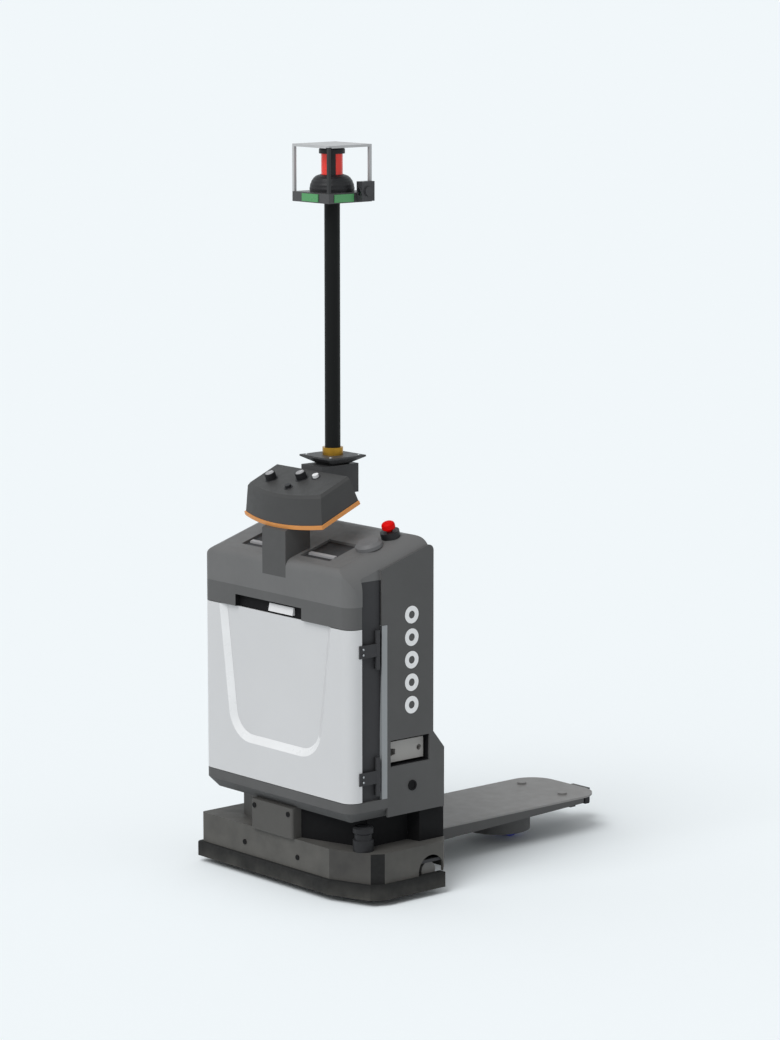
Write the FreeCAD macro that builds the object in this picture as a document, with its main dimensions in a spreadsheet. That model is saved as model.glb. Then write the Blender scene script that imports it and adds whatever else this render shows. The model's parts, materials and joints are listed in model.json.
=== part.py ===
import FreeCAD, Part
import os
import re
import Sketcher

# Driverless tug robot: a low base on three wheel sets, a tower body with a hinged front door, an operator
# console on a stem, a mast that carries a caged navigation scanner, and a low load deck behind.
# Frame: millimetres, +Z up, front is -Y, origin on the floor at the middle of the bounding box.

SIZES = {
    # overall
    "overall_length": 1330,
    "fit_gap": 0.3,
    # base
    "base_width": 789,
    "base_setback": 20,
    "base_depth": 370,
    "base_top": 162,
    "base_front_flat": 470,
    "facet_shift": 0.33,
    "facet_inset": 23,
    "facet_rise": 50,
    "facet_end": 87,
    "left_corner_radius": 12,
    "rear_corner": 45,
    "skirt_bottom": 68,
    "skirt_wall": 5,
    "bumper_bottom": 21,
    "bumper_proud": 12,
    "bumper_inner": 14,
    "chassis_bottom": 104,
    "chassis_thickness": 10,
    "rail_spacing": 330,
    "rail_width": 30,
    # neck between base and body
    "body_bottom": 258,
    "neck_setback": 9,
    "neck_front_left": 130,
    "neck_front_right": 70,
    "neck_front_depth": 38,
    "neck_mid_width": 600,
    "neck_mid_depth": 108,
    "neck_clear": 5,
    "neck_rear_depth": 282,
    "neck_step": 10,
    "neck_ceiling": 8,
    # drive unit
    "steer_setback": 128,
    "drive_radius": 80,
    "drive_width": 45,
    "drive_hub_radius": 55,
    "steer_pocket_radius": 88,
    "steer_ring_radius": 84,
    "steer_ring_height": 24,
    "yoke_journal_radius": 46,
    "yoke_flange_radius": 76,
    "yoke_flange": 14,
    "yoke_gap": 3,
    "yoke_arm": 12,
    "yoke_arm_depth": 60,
    "yoke_arm_clear": 6,
    "axle_radius": 10,
    "axle_head": 3,
    "bearing_gap": 0.03,
    "hub_dish": 10,
    "wheel_rim": 12,
    "boss_wall": 10,
    "motor_radius": 20,
    "motor_height": 186,
    # side wheels
    "side_wheel_radius": 76,
    "side_wheel_width": 40,
    "side_wheel_inset": 104.5,
    "side_hub_radius": 50,
    "side_wheel_setback": 297,
    "bearing_block": 18,
    "bearing_block_depth": 56,
    "bearing_block_drop": 19,
    "block_gap": 10,
    "wheel_room": 6,
    "axle_cap_radius": 28,
    "axle_cap_length": 12,
    "arch_radius": 52,
    # safety scanner in the right-hand slot
    "guard_inset": 76.5,
    "guard_setback": 86,
    "guard_radius": 32,
    "guard_height": 78,
    "guard_waist": 5,
    "guard_waist_low": 35,
    "guard_waist_high": 58,
    "guard_slope": 4,
    "guard_rim": 6,
    # body
    "body_width": 712,
    "body_depth": 338,
    "lower_extra": 45,
    "lower_step_bottom": 449,
    "lower_step_top": 505,
    "corner_radius": 38,
    "panel_skin": 6,
    "panel_start": 152,
    "panel_bottom": 262,
    "panel_drop": 45,
    "strip_width": 23,
    "channel_inset": 10,
    "channel_skin": 4,
    "seam": 1,
    "door_bottom": 324,
    "door_top": 858,
    "door_skin": 18,
    "door_return": 50,
    "door_gap": 2,
    "relief_depth": 13,
    "relief_rise": 12.5,
    "relief_bevel": 24,
    "relief_top_width": 492,
    "relief_bottom_width": 382,
    "relief_bottom": 460,
    "relief_corner": 80,
    "apron_chamfer": 34,
    "tray_floor": 10,
    "tray_wall": 24,
    "frame_tube": 30,
    "frame_setback": 8,
    "shelf_height": 610,
    "shelf_thickness": 4,
    "battery_width": 520,
    "battery_height": 260,
    "battery_clear": 50,
    "controller_width": 400,
    "controller_height": 190,
    "controller_clear": 60,
    # cap
    "belt_height": 927,
    "latch_recess_left": 190,
    "latch_recess_right": 130,
    "latch_recess_depth": 18,
    "latch_room": 8,
    "cap_shoulder": 1036,
    "cap_slope": 17,
    "cap_rear_bottom": 1000,
    "cap_wall": 12,
    "overcut": 1,
    "cap_side_wall": 60,
    "cap_shoulder_radius": 80,
    "shoulder_reach": 600,
    "cap_rear_wall": 36,
    "cap_front_round": 30,
    "cap_rear_round": 60,
    "tray_recess_width": 140,
    "tray_recess_run": 118,
    "tray_recess_start": 44,
    "tray_recess_side": 72,
    "tray_recess_depth": 8,
    "tray_bar_start": 70,
    "tray_bar_run": 12,
    "tray_bar_height": 6,
    "tray_bar_margin": 10,
    "latch_width": 116,
    "latch_height": 24,
    "latch_depth": 10,
    "latch_bottom": 866,
    "latch_shift": 20,
    # door hinges
    "hinge_setback": 112,
    "hinge_radius": 8,
    "hinge_clear": 1,
    "hinge_pin_radius": 4,
    "hinge_fit": 0.08,
    "hinge_length": 120,
    "hinge_upper": 729,
    "hinge_lower": 336,
    "hinge_leaf": 4,
    # right side fittings
    "recess_start": 159,
    "recess_length": 168,
    "recess_bottom": 412,
    "recess_height": 92,
    "recess_depth": 50,
    "recess_wall": 5,
    "contact_margin": 14,
    "contact_block": 32,
    "contact_notch": 26,
    "contact_hole": 9,
    "key_setback": 251,
    "key_height": 348,
    "key_radius": 16,
    "key_ring": 5,
    "key_proud": 4,
    "key_sunk": 2,
    "mark_setback": 249,
    "mark_radius": 27,
    "mark_hole": 12,
    "mark_pitch": 70,
    "mark_height": 600,
    "mark_skin": 1,
    "mark_count": 5,
    # emergency stop and sounder
    "stop_offset": 270,
    "stop_setback": 240,
    "stop_base_radius": 30,
    "stop_base_height": 20,
    "stop_stem_radius": 9,
    "stop_head_radius": 21,
    "stop_head_height": 18,
    "stop_travel": 6,
    "stop_bore_floor": 4,
    "stop_head_taper": 3,
    "stop_head_edge": 4,
    "stop_head_crown": 6,
    "sounder_offset": 262,
    "sounder_setback": 160,
    "sounder_radius": 42,
    "sounder_height": 20,
    "sounder_round": 9,
    # console
    "stem_width": 112,
    "stem_depth": 98,
    "stem_foot": 982,
    "console_width": 366,
    "console_depth": 190,
    "console_bulge": 32,
    "console_taper": 7,
    "console_rake": 34,
    "console_tilt": 23,
    "console_front_gap": 14,
    "console_foot": 1132,
    "band_height": 12,
    "band_proud": 4,
    "console_height": 94,
    "console_edge": 8,
    "knob_radius": 17,
    "knob_height": 22,
    "knob_left_offset": 105,
    "knob_left_run": 110,
    "knob_right_offset": 8,
    "knob_right_run": 140,
    "button_radius": 10,
    "button_height": 10,
    "button_travel": 4,
    "button_stem": 6,
    "button_white_offset": 56,
    "button_white_run": 158,
    "button_dark_offset": 8,
    "button_dark_run": 82,
    # screws on the base and the neck
    "screw_radius": 8,
    "screw_head": 3,
    "base_screw_height": 106,
    "neck_screw_height": 238,
    "neck_screw_margin": 18,
    "outer_screw_margin": 60,
    "inner_screw_margin": 14,
    # mast
    "mast_setback": 237,
    "mast_diameter": 48.3,
    "mast_wall": 3,
    "mast_top": 2116,
    "bracket_width": 100,
    "bracket_rear": 62,
    "bracket_top": 1307,
    "flare_bottom_width": 70,
    "flare_top_width": 146,
    "flare_height": 22,
    "mast_plate_thickness": 5,
    "collar_radius": 32,
    "collar_height": 24,
    # scanner cage
    "cage_width": 172,
    "cage_floor_height": 30,
    "cage_post_width": 9,
    "cage_post_height": 137,
    "cage_top_thickness": 8,
    "light_width": 76,
    "light_height": 24,
    "light_skin": 3,
    "light_shift": 26,
    "scanner_foot_radius": 68,
    "scanner_foot_height": 52,
    "scanner_foot_rim": 8,
    "scanner_neck_wall": 4,
    "scanner_neck_height": 10,
    "window_radius": 33,
    "window_wall": 3,
    "window_height": 64,
    "rotor_radius": 25,
    "rotor_height": 50,
    "rotor_stem_radius": 12,
    "rotor_stem_height": 6,
    "rotor_slope": 2,
    "scanner_cap_radius": 40,
    "scanner_cap_height": 17,
    "scanner_cap_edge": 4,
    "camera_width": 50,
    "camera_height": 60,
    "camera_depth": 26,
    "camera_bottom": 2120,
    "camera_shift": 50,
    "lens_radius": 15,
    "lens_length": 6,
    # deck
    "deck_width": 332,
    "deck_top": 130,
    "deck_plate_thickness": 6,
    "deck_corner_radius": 90,
    "deck_rail_width": 14,
    "deck_root_bottom": 82,
    "deck_tip_bottom": 108,
    "tip_sensor_radius": 29,
    "tip_sensor_length": 42,
    "tip_sensor_height": 87,
    "tip_bumper_length": 29,
    "tip_bumper_width": 76,
    "tip_bumper_height": 54,
    "tip_bracket_depth": 24,
    "tip_bracket_width": 70,
    "stud_spacing": 194,
    "stud_radius": 15,
    "stud_height": 7,
    "stud_tip_distance": 122,
    # caster
    "caster_tip_distance": 325,
    "caster_trail": 50,
    "caster_radius": 42,
    "caster_width": 36,
    "caster_hub_radius": 28,
    "caster_axle_radius": 6,
    "caster_plate_radius": 52,
    "caster_plate_thickness": 7,
    "caster_race_gap": 0.4,
    "kingpin_radius": 8,
    "kingpin_fit": 0.08,
    "fork_plate_radius": 42,
    "fork_plate_thickness": 7,
    "fork_arm": 6,
    "fork_arm_front": 20,
    "fork_arm_rear": 30,
    "fork_eye": 10,
    "fork_gap": 3,
    "fairing_radius": 110,
    "fairing_wall": 4,
    "fairing_bottom": 36,
}

# Places that follow from the sizes above, as formulas in the same sheet.
PLACES = {
    "front_y": "-overall_length / 2",
    "base_half": "base_width / 2",
    "base_front_y": "front_y + base_setback",
    "base_rear_y": "base_front_y + base_depth",
    "body_half": "body_width / 2",
    "panel_inner": "body_half - panel_skin",
    "rear_y": "front_y + body_depth",
    "lower_rear_y": "rear_y + lower_extra",
    "panel_y": "front_y + panel_start",
    "strip_y": "panel_y - strip_width",
    "channel_y": "front_y + door_return + door_gap",
    "mast_y": "front_y + mast_setback",
    "steer_y": "front_y + steer_setback",
    "chassis_top": "chassis_bottom + chassis_thickness",
    "skirt_ceiling": "base_top - skirt_wall",
    "neck_y": "front_y + neck_setback",
    "neck_roof": "body_bottom - neck_ceiling",
    "neck_rear_half": "panel_inner - neck_clear",
    "ring_bottom": "neck_roof - steer_ring_height",
    "flange_top": "ring_bottom - yoke_gap",
    "flange_bottom": "flange_top - yoke_flange",
    "arm_inner": "drive_width / 2 + yoke_arm_clear",
    "arm_outer": "arm_inner + yoke_arm",
    "side_wheel_y": "front_y + side_wheel_setback",
    "side_wheel_x": "base_half - side_wheel_inset",
    "side_wheel_inner": "side_wheel_x - side_wheel_width / 2",
    "side_wheel_outer": "side_wheel_x + side_wheel_width / 2",
    "frame_outer": "panel_inner - recess_depth",
    "slope_rise": "body_depth * tan(cap_slope * 1deg)",
    "cap_rear_top": "cap_shoulder + slope_rise",
    "panel_front_top": "cap_shoulder + (panel_start - strip_width) * tan(cap_slope * 1deg) - panel_drop",
    "panel_rear_top": "cap_rear_top - panel_drop",
    "hinge_x": "body_half - channel_inset + hinge_radius + hinge_clear",
    "hinge_y": "front_y + hinge_setback",
    "console_y": "front_y + console_front_gap",
    "cos_tilt": "cos(console_tilt * 1deg)",
    "sin_tilt": "sin(console_tilt * 1deg)",
    "bracket_low_y": "console_y + console_depth * cos_tilt - band_height * sin_tilt",
    "bracket_low_z": "console_foot + console_depth * sin_tilt + band_height * cos_tilt",
    "bracket_high_y": "console_y + console_depth * cos_tilt - console_height * sin_tilt",
    "bracket_high_z": "console_foot + console_depth * sin_tilt + console_height * cos_tilt",
    "flare_top": "bracket_top + flare_height",
    "plate_top": "flare_top + mast_plate_thickness",
    "cage_half": "cage_width / 2",
    "cage_floor_top": "mast_top + cage_floor_height",
    "cage_post_top": "cage_floor_top + cage_post_height",
    "window_bottom": "cage_floor_top + scanner_foot_height",
    "window_top": "window_bottom + window_height",
    "deck_half": "deck_width / 2",
    "deck_under": "deck_top - deck_plate_thickness",
    "tip_end_y": "overall_length / 2",
    "deck_tip_y": "tip_end_y - tip_bumper_length - tip_sensor_length",
    "stud_y": "deck_tip_y - stud_tip_distance",
    "caster_y": "deck_tip_y - caster_tip_distance",
    "caster_wheel_y": "caster_y + caster_trail",
    "caster_plate_bottom": "deck_under - caster_plate_thickness",
    "fork_top": "caster_plate_bottom - caster_race_gap",
    "fork_under": "fork_top - fork_plate_thickness",
    "fork_inner": "caster_width / 2 + fork_gap",
    "fork_outer": "fork_inner + fork_arm",
}

NAMES = set(SIZES) | set(PLACES)
WORD = re.compile(r"[A-Za-z_][A-Za-z_0-9]*")
AXES = {"X": FreeCAD.Vector(1, 0, 0), "Y": FreeCAD.Vector(0, 1, 0), "Z": FreeCAD.Vector(0, 0, 1)}

SIDES = ((1, "Right"), (-1, "Left"))

doc = FreeCAD.newDocument("TugRobot")
nodes = []


def make_sheet():
    """The sheet of sizes: plain numbers first, then the places as formulas."""
    sheet = doc.addObject("Spreadsheet::Sheet", "Sizes")
    cells = [(name, str(value)) for name, value in SIZES.items()]
    cells += [(name, "=" + formula) for name, formula in PLACES.items()]
    for row, (name, content) in enumerate(cells, start=1):
        sheet.set("A%d" % row, name)
        sheet.set("B%d" % row, content)
        sheet.setAlias("B%d" % row, name)
    doc.recompute()
    return sheet


sheet = make_sheet()


def size(name):
    """The present value of a size or place, as a plain number."""
    return float(sheet.get(name))


def bind(item, field, text):
    """Ties a property of an object to an expression of the sheet's names."""
    item.setExpression(field, WORD.sub(lambda hit: "Sizes." + hit[0] if hit[0] in NAMES else hit[0], text))


def place(item, x="0", y="0", z="0"):
    bind(item, "Placement.Base.x", x)
    bind(item, "Placement.Base.y", y)
    bind(item, "Placement.Base.z", z)


def turn(item, axis, angle):
    """Turns an object's placement about one of the main axes by an angle of the sheet."""
    item.Placement.Rotation = FreeCAD.Rotation(AXES[axis], 1)
    bind(item, "Placement.Rotation.Angle", angle)


def node(item, label):
    """Marks an object as a finished sub-part and gives it its name."""
    item.Label = label
    nodes.append(item)
    return item


def signed(side, text):
    """An expression on the +X side (1) or mirrored to the -X side (-1)."""
    return "%d * (%s)" % (side, text)


def span(side, low, high):
    """A stretch along X given for the +X side, or its mirror image for the -X side."""
    return (low, high) if side == 1 else ("-(%s)" % high, "-(%s)" % low)


def mirrored(points):
    """Right-hand points of a plan, followed by their mirror images in reverse."""
    return points + [(signed(-1, x), y) for x, y in reversed(points)]


# ---- Part primitives -------------------------------------------------------------------------------

def box(name, x, y, z):
    """A box between pairs of expressions along X, Y and Z."""
    item = doc.addObject("Part::Box", name)
    bind(item, "Length", "(%s) - (%s)" % (x[1], x[0]))
    bind(item, "Width", "(%s) - (%s)" % (y[1], y[0]))
    bind(item, "Height", "(%s) - (%s)" % (z[1], z[0]))
    place(item, x[0], y[0], z[0])
    return item


def rod(name, axis, radius, start, end, across):
    """A cylinder along a main axis; across gives the two other coordinates in X, Y, Z order."""
    item = doc.addObject("Part::Cylinder", name)
    bind(item, "Radius", radius)
    bind(item, "Height", "(%s) - (%s)" % (end, start))
    if axis == "X":
        item.Placement.Rotation = FreeCAD.Rotation(AXES["Y"], 90)
        place(item, start, across[0], across[1])
    elif axis == "Y":
        item.Placement.Rotation = FreeCAD.Rotation(AXES["X"], -90)
        place(item, across[0], start, across[1])
    else:
        place(item, across[0], across[1], start)
    return item


def cut(name, base, tools):
    for tool in tools:
        item = doc.addObject("Part::Cut", name)
        item.Base = base
        item.Tool = tool
        base = item
    return base


def common(name, base, tool):
    item = doc.addObject("Part::Common", name)
    item.Base = base
    item.Tool = tool
    return item


def fuse(name, pieces):
    item = doc.addObject("Part::MultiFuse", name)
    item.Shapes = pieces
    item.Refine = True
    return item


def group(name, pieces):
    """Separate solids kept together as one sub-part."""
    item = doc.addObject("Part::Compound", name)
    item.Links = pieces
    return item


# ---- PartDesign helpers ----------------------------------------------------------------------------

def new_body(name):
    return doc.addObject("PartDesign::Body", name)


def sketch_on(body, name, role, offset):
    """An empty sketch on one of the body's own planes, moved along the plane's normal."""
    sketch = body.newObject("Sketcher::SketchObject", name)
    plane = [item for item in body.Origin.OriginFeatures if item.Role == role][0]
    sketch.AttachmentSupport = [(plane, "")]
    sketch.MapMode = "FlatFace"
    bind(sketch, "AttachmentOffset.Base.z", offset)
    return sketch


def pin_point(sketch, index, position, x, y):
    """Ties a sketch point to the origin by two distances of the sheet."""
    present = sketch.getPoint(index, position)
    for kind, start, text in (("DistanceX", present.x, x), ("DistanceY", present.y, y)):
        number = sketch.addConstraint(Sketcher.Constraint(kind, -1, 1, index, position, start))
        bind(sketch, "Constraints[%d]" % number, text)


def polygon(sketch, points):
    """A closed outline of straight lines, each corner tied to the sheet."""
    count = len(points)
    first = sketch.GeometryCount
    corners = [FreeCAD.Vector(10 * i, (i * i) % 7, 0) for i in range(count)]
    for i in range(count):
        sketch.addGeometry(Part.LineSegment(corners[i], corners[(i + 1) % count]))
    for i in range(count):
        sketch.addConstraint(Sketcher.Constraint("Coincident", first + i, 2, first + (i + 1) % count, 1))
    for i, (x, y) in enumerate(points):
        pin_point(sketch, first + i, 1, x, y)
    return sketch


def circle(sketch, x, y, radius):
    index = sketch.addGeometry(Part.Circle(FreeCAD.Vector(0, 0, 0), AXES["Z"], 5))
    number = sketch.addConstraint(Sketcher.Constraint("Radius", index, 5))
    bind(sketch, "Constraints[%d]" % number, radius)
    pin_point(sketch, index, 3, x, y)
    return sketch


def pad(body, name, sketch, length):
    item = body.newObject("PartDesign::Pad", name)
    item.Profile = sketch
    bind(item, "Length", length)
    return item


def pocket(body, name, sketch, length):
    """Cuts against the sketch's normal, so the sketch lies on the far side of the cut."""
    item = body.newObject("PartDesign::Pocket", name)
    item.Profile = sketch
    bind(item, "Length", length)
    return item


def revolve(body, name, sketch):
    """A full turn about the sketch's vertical axis."""
    item = body.newObject("PartDesign::Revolution", name)
    item.Profile = sketch
    item.ReferenceAxis = (sketch, ["V_Axis"])
    item.Angle = 360
    return item


def edges(feature, test):
    """Names of a feature's edges that pass a test."""
    found = enumerate(feature.Shape.Edges, start=1)
    return ["Edge%d" % number for number, edge in found if test(edge)]


def along(edge, axis):
    """True for a straight edge parallel to a main axis."""
    if not isinstance(edge.Curve, Part.Line):
        return False
    return abs(abs(edge.Curve.Direction.dot(AXES[axis])) - 1) < 1e-6


def near(value, target):
    return abs(value - target) < 0.01


def fillet(body, name, feature, test, radius):
    """Rounds the edges that pass the test."""
    doc.recompute()
    item = body.newObject("PartDesign::Fillet", name)
    item.Base = (feature, edges(feature, test))
    bind(item, "Radius", radius)
    return item


def chamfer(body, name, feature, test, length):
    doc.recompute()
    item = body.newObject("PartDesign::Chamfer", name)
    item.Base = (feature, edges(feature, test))
    bind(item, "Size", length)
    return item


# ---- base ------------------------------------------------------------------------------------------

def base_plan(inset, rear, rear_corner):
    """Plan of the base, drawn in by an inset: square at the front left, facetted at the front right and
    with both rear corners cut off. facet_shift is the share of an inset by which the facet's front
    corner moves towards the middle."""
    half = "base_half - (%s)" % inset
    front = "base_front_y + (%s)" % inset
    sides = "%s - (%s)" % (rear, rear_corner)
    return [
        ("base_front_flat / 2 - (%s) * facet_shift" % inset, front),
        ("%s - facet_inset" % half, "%s + facet_rise" % front),
        (half, "base_front_y + facet_end"),
        (half, sides),
        ("%s - (%s)" % (half, rear_corner), rear),
        ("-(%s - (%s))" % (half, rear_corner), rear),
        ("-(%s)" % half, sides),
        ("-(%s)" % half, front),
    ]


def is_left_front(edge):
    """True for the base's upright edge at the front left."""
    return along(edge, "Z") and edge.CenterOfMass.x < 0 and edge.CenterOfMass.y < size("base_front_y") + 1


def base_skirt():
    body = new_body("BaseSkirt")
    plan = polygon(sketch_on(body, "SkirtPlan", "XY_Plane", "skirt_bottom"),
                   base_plan("0", "base_rear_y", "rear_corner"))
    block = pad(body, "SkirtPad", plan, "base_top - skirt_bottom")
    fillet(body, "SkirtCorner", block, is_left_front, "left_corner_radius")
    inner = polygon(sketch_on(body, "SkirtInside", "XY_Plane", "skirt_ceiling"),
                    base_plan("skirt_wall", "base_rear_y - skirt_wall", "rear_corner"))
    pocket(body, "SkirtHollow", inner, "skirt_ceiling - skirt_bottom")
    hole = circle(sketch_on(body, "SteerHole", "XY_Plane", "base_top"), "0", "steer_y",
                  "steer_pocket_radius")
    pocket(body, "SteerCut", hole, "skirt_wall")
    arch = circle(sketch_on(body, "ArchPlan", "YZ_Plane", "base_half"),
                  "side_wheel_y", "side_wheel_radius", "arch_radius")
    pocket(body, "WheelArches", arch, "base_width")
    return node(body, "base_skirt")


def bumper_strip():
    """Black safety edge under the skirt's front and sides, open at the rear."""
    body = new_body("BumperStrip")
    rear = "base_rear_y - rear_corner"
    outer = polygon(sketch_on(body, "BumperPlan", "XY_Plane", "bumper_bottom"),
                    base_plan("-bumper_proud", rear, "overcut"))
    block = pad(body, "BumperPad", outer, "skirt_bottom - bumper_bottom")
    fillet(body, "BumperCorner", block, is_left_front, "left_corner_radius")
    inner = polygon(sketch_on(body, "BumperInside", "XY_Plane", "skirt_bottom"),
                    base_plan("bumper_inner", rear + " + overcut", "overcut"))
    last = pocket(body, "BumperHollow", inner, "skirt_bottom - bumper_bottom")
    top = size("skirt_bottom")
    fillet(body, "BumperRound", last,
           lambda edge: near(edge.BoundBox.ZMin, top) and along(edge, "X")
           and edge.CenterOfMass.y < size("base_front_y"), "bumper_proud / 2")
    return node(body, "bumper_strip")


def chassis_frame():
    """Welded chassis: plate with wheel slots, two box rails on it, bearing blocks under it."""
    body = new_body("ChassisPlate")
    plan = polygon(sketch_on(body, "ChassisPlan", "XY_Plane", "chassis_bottom"),
                   base_plan("skirt_wall", "base_rear_y - skirt_wall", "rear_corner"))
    pad(body, "ChassisPad", plan, "chassis_thickness")
    hole = circle(sketch_on(body, "DriveHole", "XY_Plane", "chassis_top"), "0", "steer_y",
                  "steer_pocket_radius")
    pocket(body, "DriveCut", hole, "chassis_thickness")
    slots = sketch_on(body, "WheelSlots", "XY_Plane", "chassis_top")
    low = "side_wheel_y - side_wheel_radius - wheel_room"
    high = "side_wheel_y + side_wheel_radius + wheel_room"
    for side in (1, -1):
        inner = signed(side, "side_wheel_inner - wheel_room")
        outer = signed(side, "side_wheel_outer + wheel_room")
        polygon(slots, [(inner, low), (outer, low), (outer, high), (inner, high)])
    pocket(body, "WheelSlotCut", slots, "chassis_thickness")
    pieces = [body]
    for side, word in SIDES:
        rail = span(side, "rail_spacing / 2 - rail_width / 2", "rail_spacing / 2 + rail_width / 2")
        pieces.append(box("Rail" + word, rail, ("base_front_y + facet_rise + rail_width",
                                                "base_rear_y - skirt_wall"),
                          ("chassis_top", "skirt_ceiling")))
        for name, low in (("Inner", "side_wheel_inner - block_gap - bearing_block"),
                          ("Outer", "side_wheel_outer + block_gap")):
            ends = span(side, low, low + " + bearing_block")
            solid = box("Block" + name + word, ends,
                        ("side_wheel_y - bearing_block_depth / 2",
                         "side_wheel_y + bearing_block_depth / 2"),
                        ("side_wheel_radius - bearing_block_drop", "chassis_bottom"))
            bore = rod("BlockBore" + name + word, "X", "axle_radius", ends[0], ends[1],
                       ("side_wheel_y", "side_wheel_radius"))
            pieces.append(cut("BlockCut" + name + word, solid, [bore]))
    return node(fuse("ChassisFrame", pieces), "chassis_frame")


def neck_tower():
    """Neck that carries the body and houses the drive unit, with slots left open at the front corners."""
    body = new_body("NeckTower")
    front_end = "neck_y + neck_front_depth"
    back = [("neck_mid_width / 2", "neck_y + neck_mid_depth"),
            ("neck_mid_width / 2", "neck_y + neck_rear_depth - neck_step"),
            ("neck_rear_half", "neck_y + neck_rear_depth"),
            ("neck_rear_half", "base_rear_y")]
    outline = [("neck_front_right", "neck_y"), ("neck_front_right", front_end)] + mirrored(back)
    outline += [("-neck_front_left", front_end), ("-neck_front_left", "neck_y")]
    plan = polygon(sketch_on(body, "NeckPlan", "XY_Plane", "base_top"), outline)
    block = pad(body, "NeckPad", plan, "body_bottom - base_top")
    front = size("neck_y")
    fillet(body, "NeckCorners", block,
           lambda edge: along(edge, "Z") and near(edge.CenterOfMass.y, front), "neck_setback")
    hole = circle(sketch_on(body, "NeckHole", "XY_Plane", "neck_roof"), "0", "steer_y",
                  "steer_pocket_radius")
    pocket(body, "NeckPocket", hole, "neck_roof - base_top")
    return node(body, "neck_tower")


# ---- drive unit ------------------------------------------------------------------------------------

def steer_ring():
    ring = rod("RingBlank", "Z", "steer_ring_radius", "ring_bottom", "neck_roof", ("0", "steer_y"))
    bore = rod("RingBore", "Z", "yoke_journal_radius + fit_gap", "ring_bottom", "neck_roof", ("0",
                                                                                              "steer_y"))
    return node(cut("SteerRing", ring, [bore]), "steer_ring")


def drive_yoke():
    """Steered yoke: journal in the ring, flange below it, two arms down to the wheel's axle."""
    journal = rod("YokeJournal", "Z", "yoke_journal_radius", "flange_top", "neck_roof - yoke_gap", ("0",
            "steer_y"))
    flange = rod("YokeFlange", "Z", "yoke_flange_radius", "flange_bottom", "flange_top", ("0", "steer_y"))
    pieces = [journal, flange]
    depth = ("steer_y - yoke_arm_depth / 2", "steer_y + yoke_arm_depth / 2")
    across = ("steer_y", "drive_radius")
    for side, word in SIDES:
        ends = span(side, "arm_inner", "arm_outer")
        pieces.append(box("YokeArm" + word, ends, depth, ("drive_radius", "flange_bottom")))
        pieces.append(rod("YokeEnd" + word, "X", "yoke_arm_depth / 2", ends[0], ends[1], across))
    bore = rod("YokeBore", "X", "axle_radius", "-arm_outer", "arm_outer", across)
    axle = rod("DriveAxle", "X", "axle_radius", "-arm_outer - axle_head", "arm_outer", across)
    return node(group("DriveYoke", [cut("YokeCut", fuse("YokeSolid", pieces), [bore]), axle]), "drive_yoke")


def wheel(name, label, x, across, radius, hub_radius, bore_radius, dish="0"):
    """Hub and bonded tyre as two solids; the hub may be dished on both faces."""
    hub = rod(name + "HubBlank", "X", hub_radius, x[0], x[1], across)
    if dish != "0":
        hollows = [rod(name + "DishLow", "X", "(%s) - wheel_rim" % hub_radius, x[0], "%s + %s" % (x[0],
                dish), across),
                   rod(name + "DishHigh", "X", "(%s) - wheel_rim" % hub_radius, "%s - %s" % (x[1], dish),
                       x[1],
                       across)]
        boss = rod(name + "Boss", "X", "(%s) + boss_wall" % bore_radius, x[0], x[1], across)
        hub = fuse(name + "Dished", [cut(name + "HubCut", hub, hollows), boss])
    bore = rod(name + "Bore", "X", "(%s) + bearing_gap" % bore_radius, x[0], x[1], across)
    tyre = rod(name + "TyreBlank", "X", radius, x[0], x[1], across)
    seat = rod(name + "TyreSeat", "X", hub_radius, x[0], x[1], across)
    return node(group(name, [cut(name + "Hub", hub, [bore]), cut(name + "Tyre", tyre, [seat])]), label)


def drive_wheel():
    return wheel("DriveWheel", "drive_wheel", ("-drive_width / 2", "drive_width / 2"), ("steer_y",
                                                                                        "drive_radius"),
                 "drive_radius", "drive_hub_radius", "axle_radius", "hub_dish")


def drive_motor():
    """Gearmotor held between the yoke's arms, above the wheel."""
    return node(rod("MotorCase", "X", "motor_radius", "-arm_inner", "arm_inner", ("steer_y",
                                                                                  "motor_height")),
                "drive_motor")


# ---- side wheels -----------------------------------------------------------------------------------

def side_axles():
    """Fixed axles of the two side wheels, each with a round cap that shows in the skirt's arch."""
    pieces = []
    across = ("side_wheel_y", "side_wheel_radius")
    cap_high = "base_half - bumper_inner - fit_gap"
    cap_low = cap_high + " - axle_cap_length"
    for side, word in SIDES:
        shaft = span(side, "side_wheel_inner - block_gap - bearing_block", cap_low)
        pieces.append(rod("SideAxle" + word, "X", "axle_radius", shaft[0], shaft[1], across))
        face = span(side, cap_low, cap_high)
        pieces.append(rod("AxleCap" + word, "X", "axle_cap_radius", face[0], face[1], across))
    return node(group("SideAxles", pieces), "side_axles")


def side_wheel(side, word):
    return wheel("SideWheel" + word, "side_wheel_" + word.lower(), span(side, "side_wheel_inner",
                                                                        "side_wheel_outer"),
                 ("side_wheel_y", "side_wheel_radius"), "side_wheel_radius", "side_hub_radius",
                 "axle_radius")


# ---- body ------------------------------------------------------------------------------------------

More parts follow.
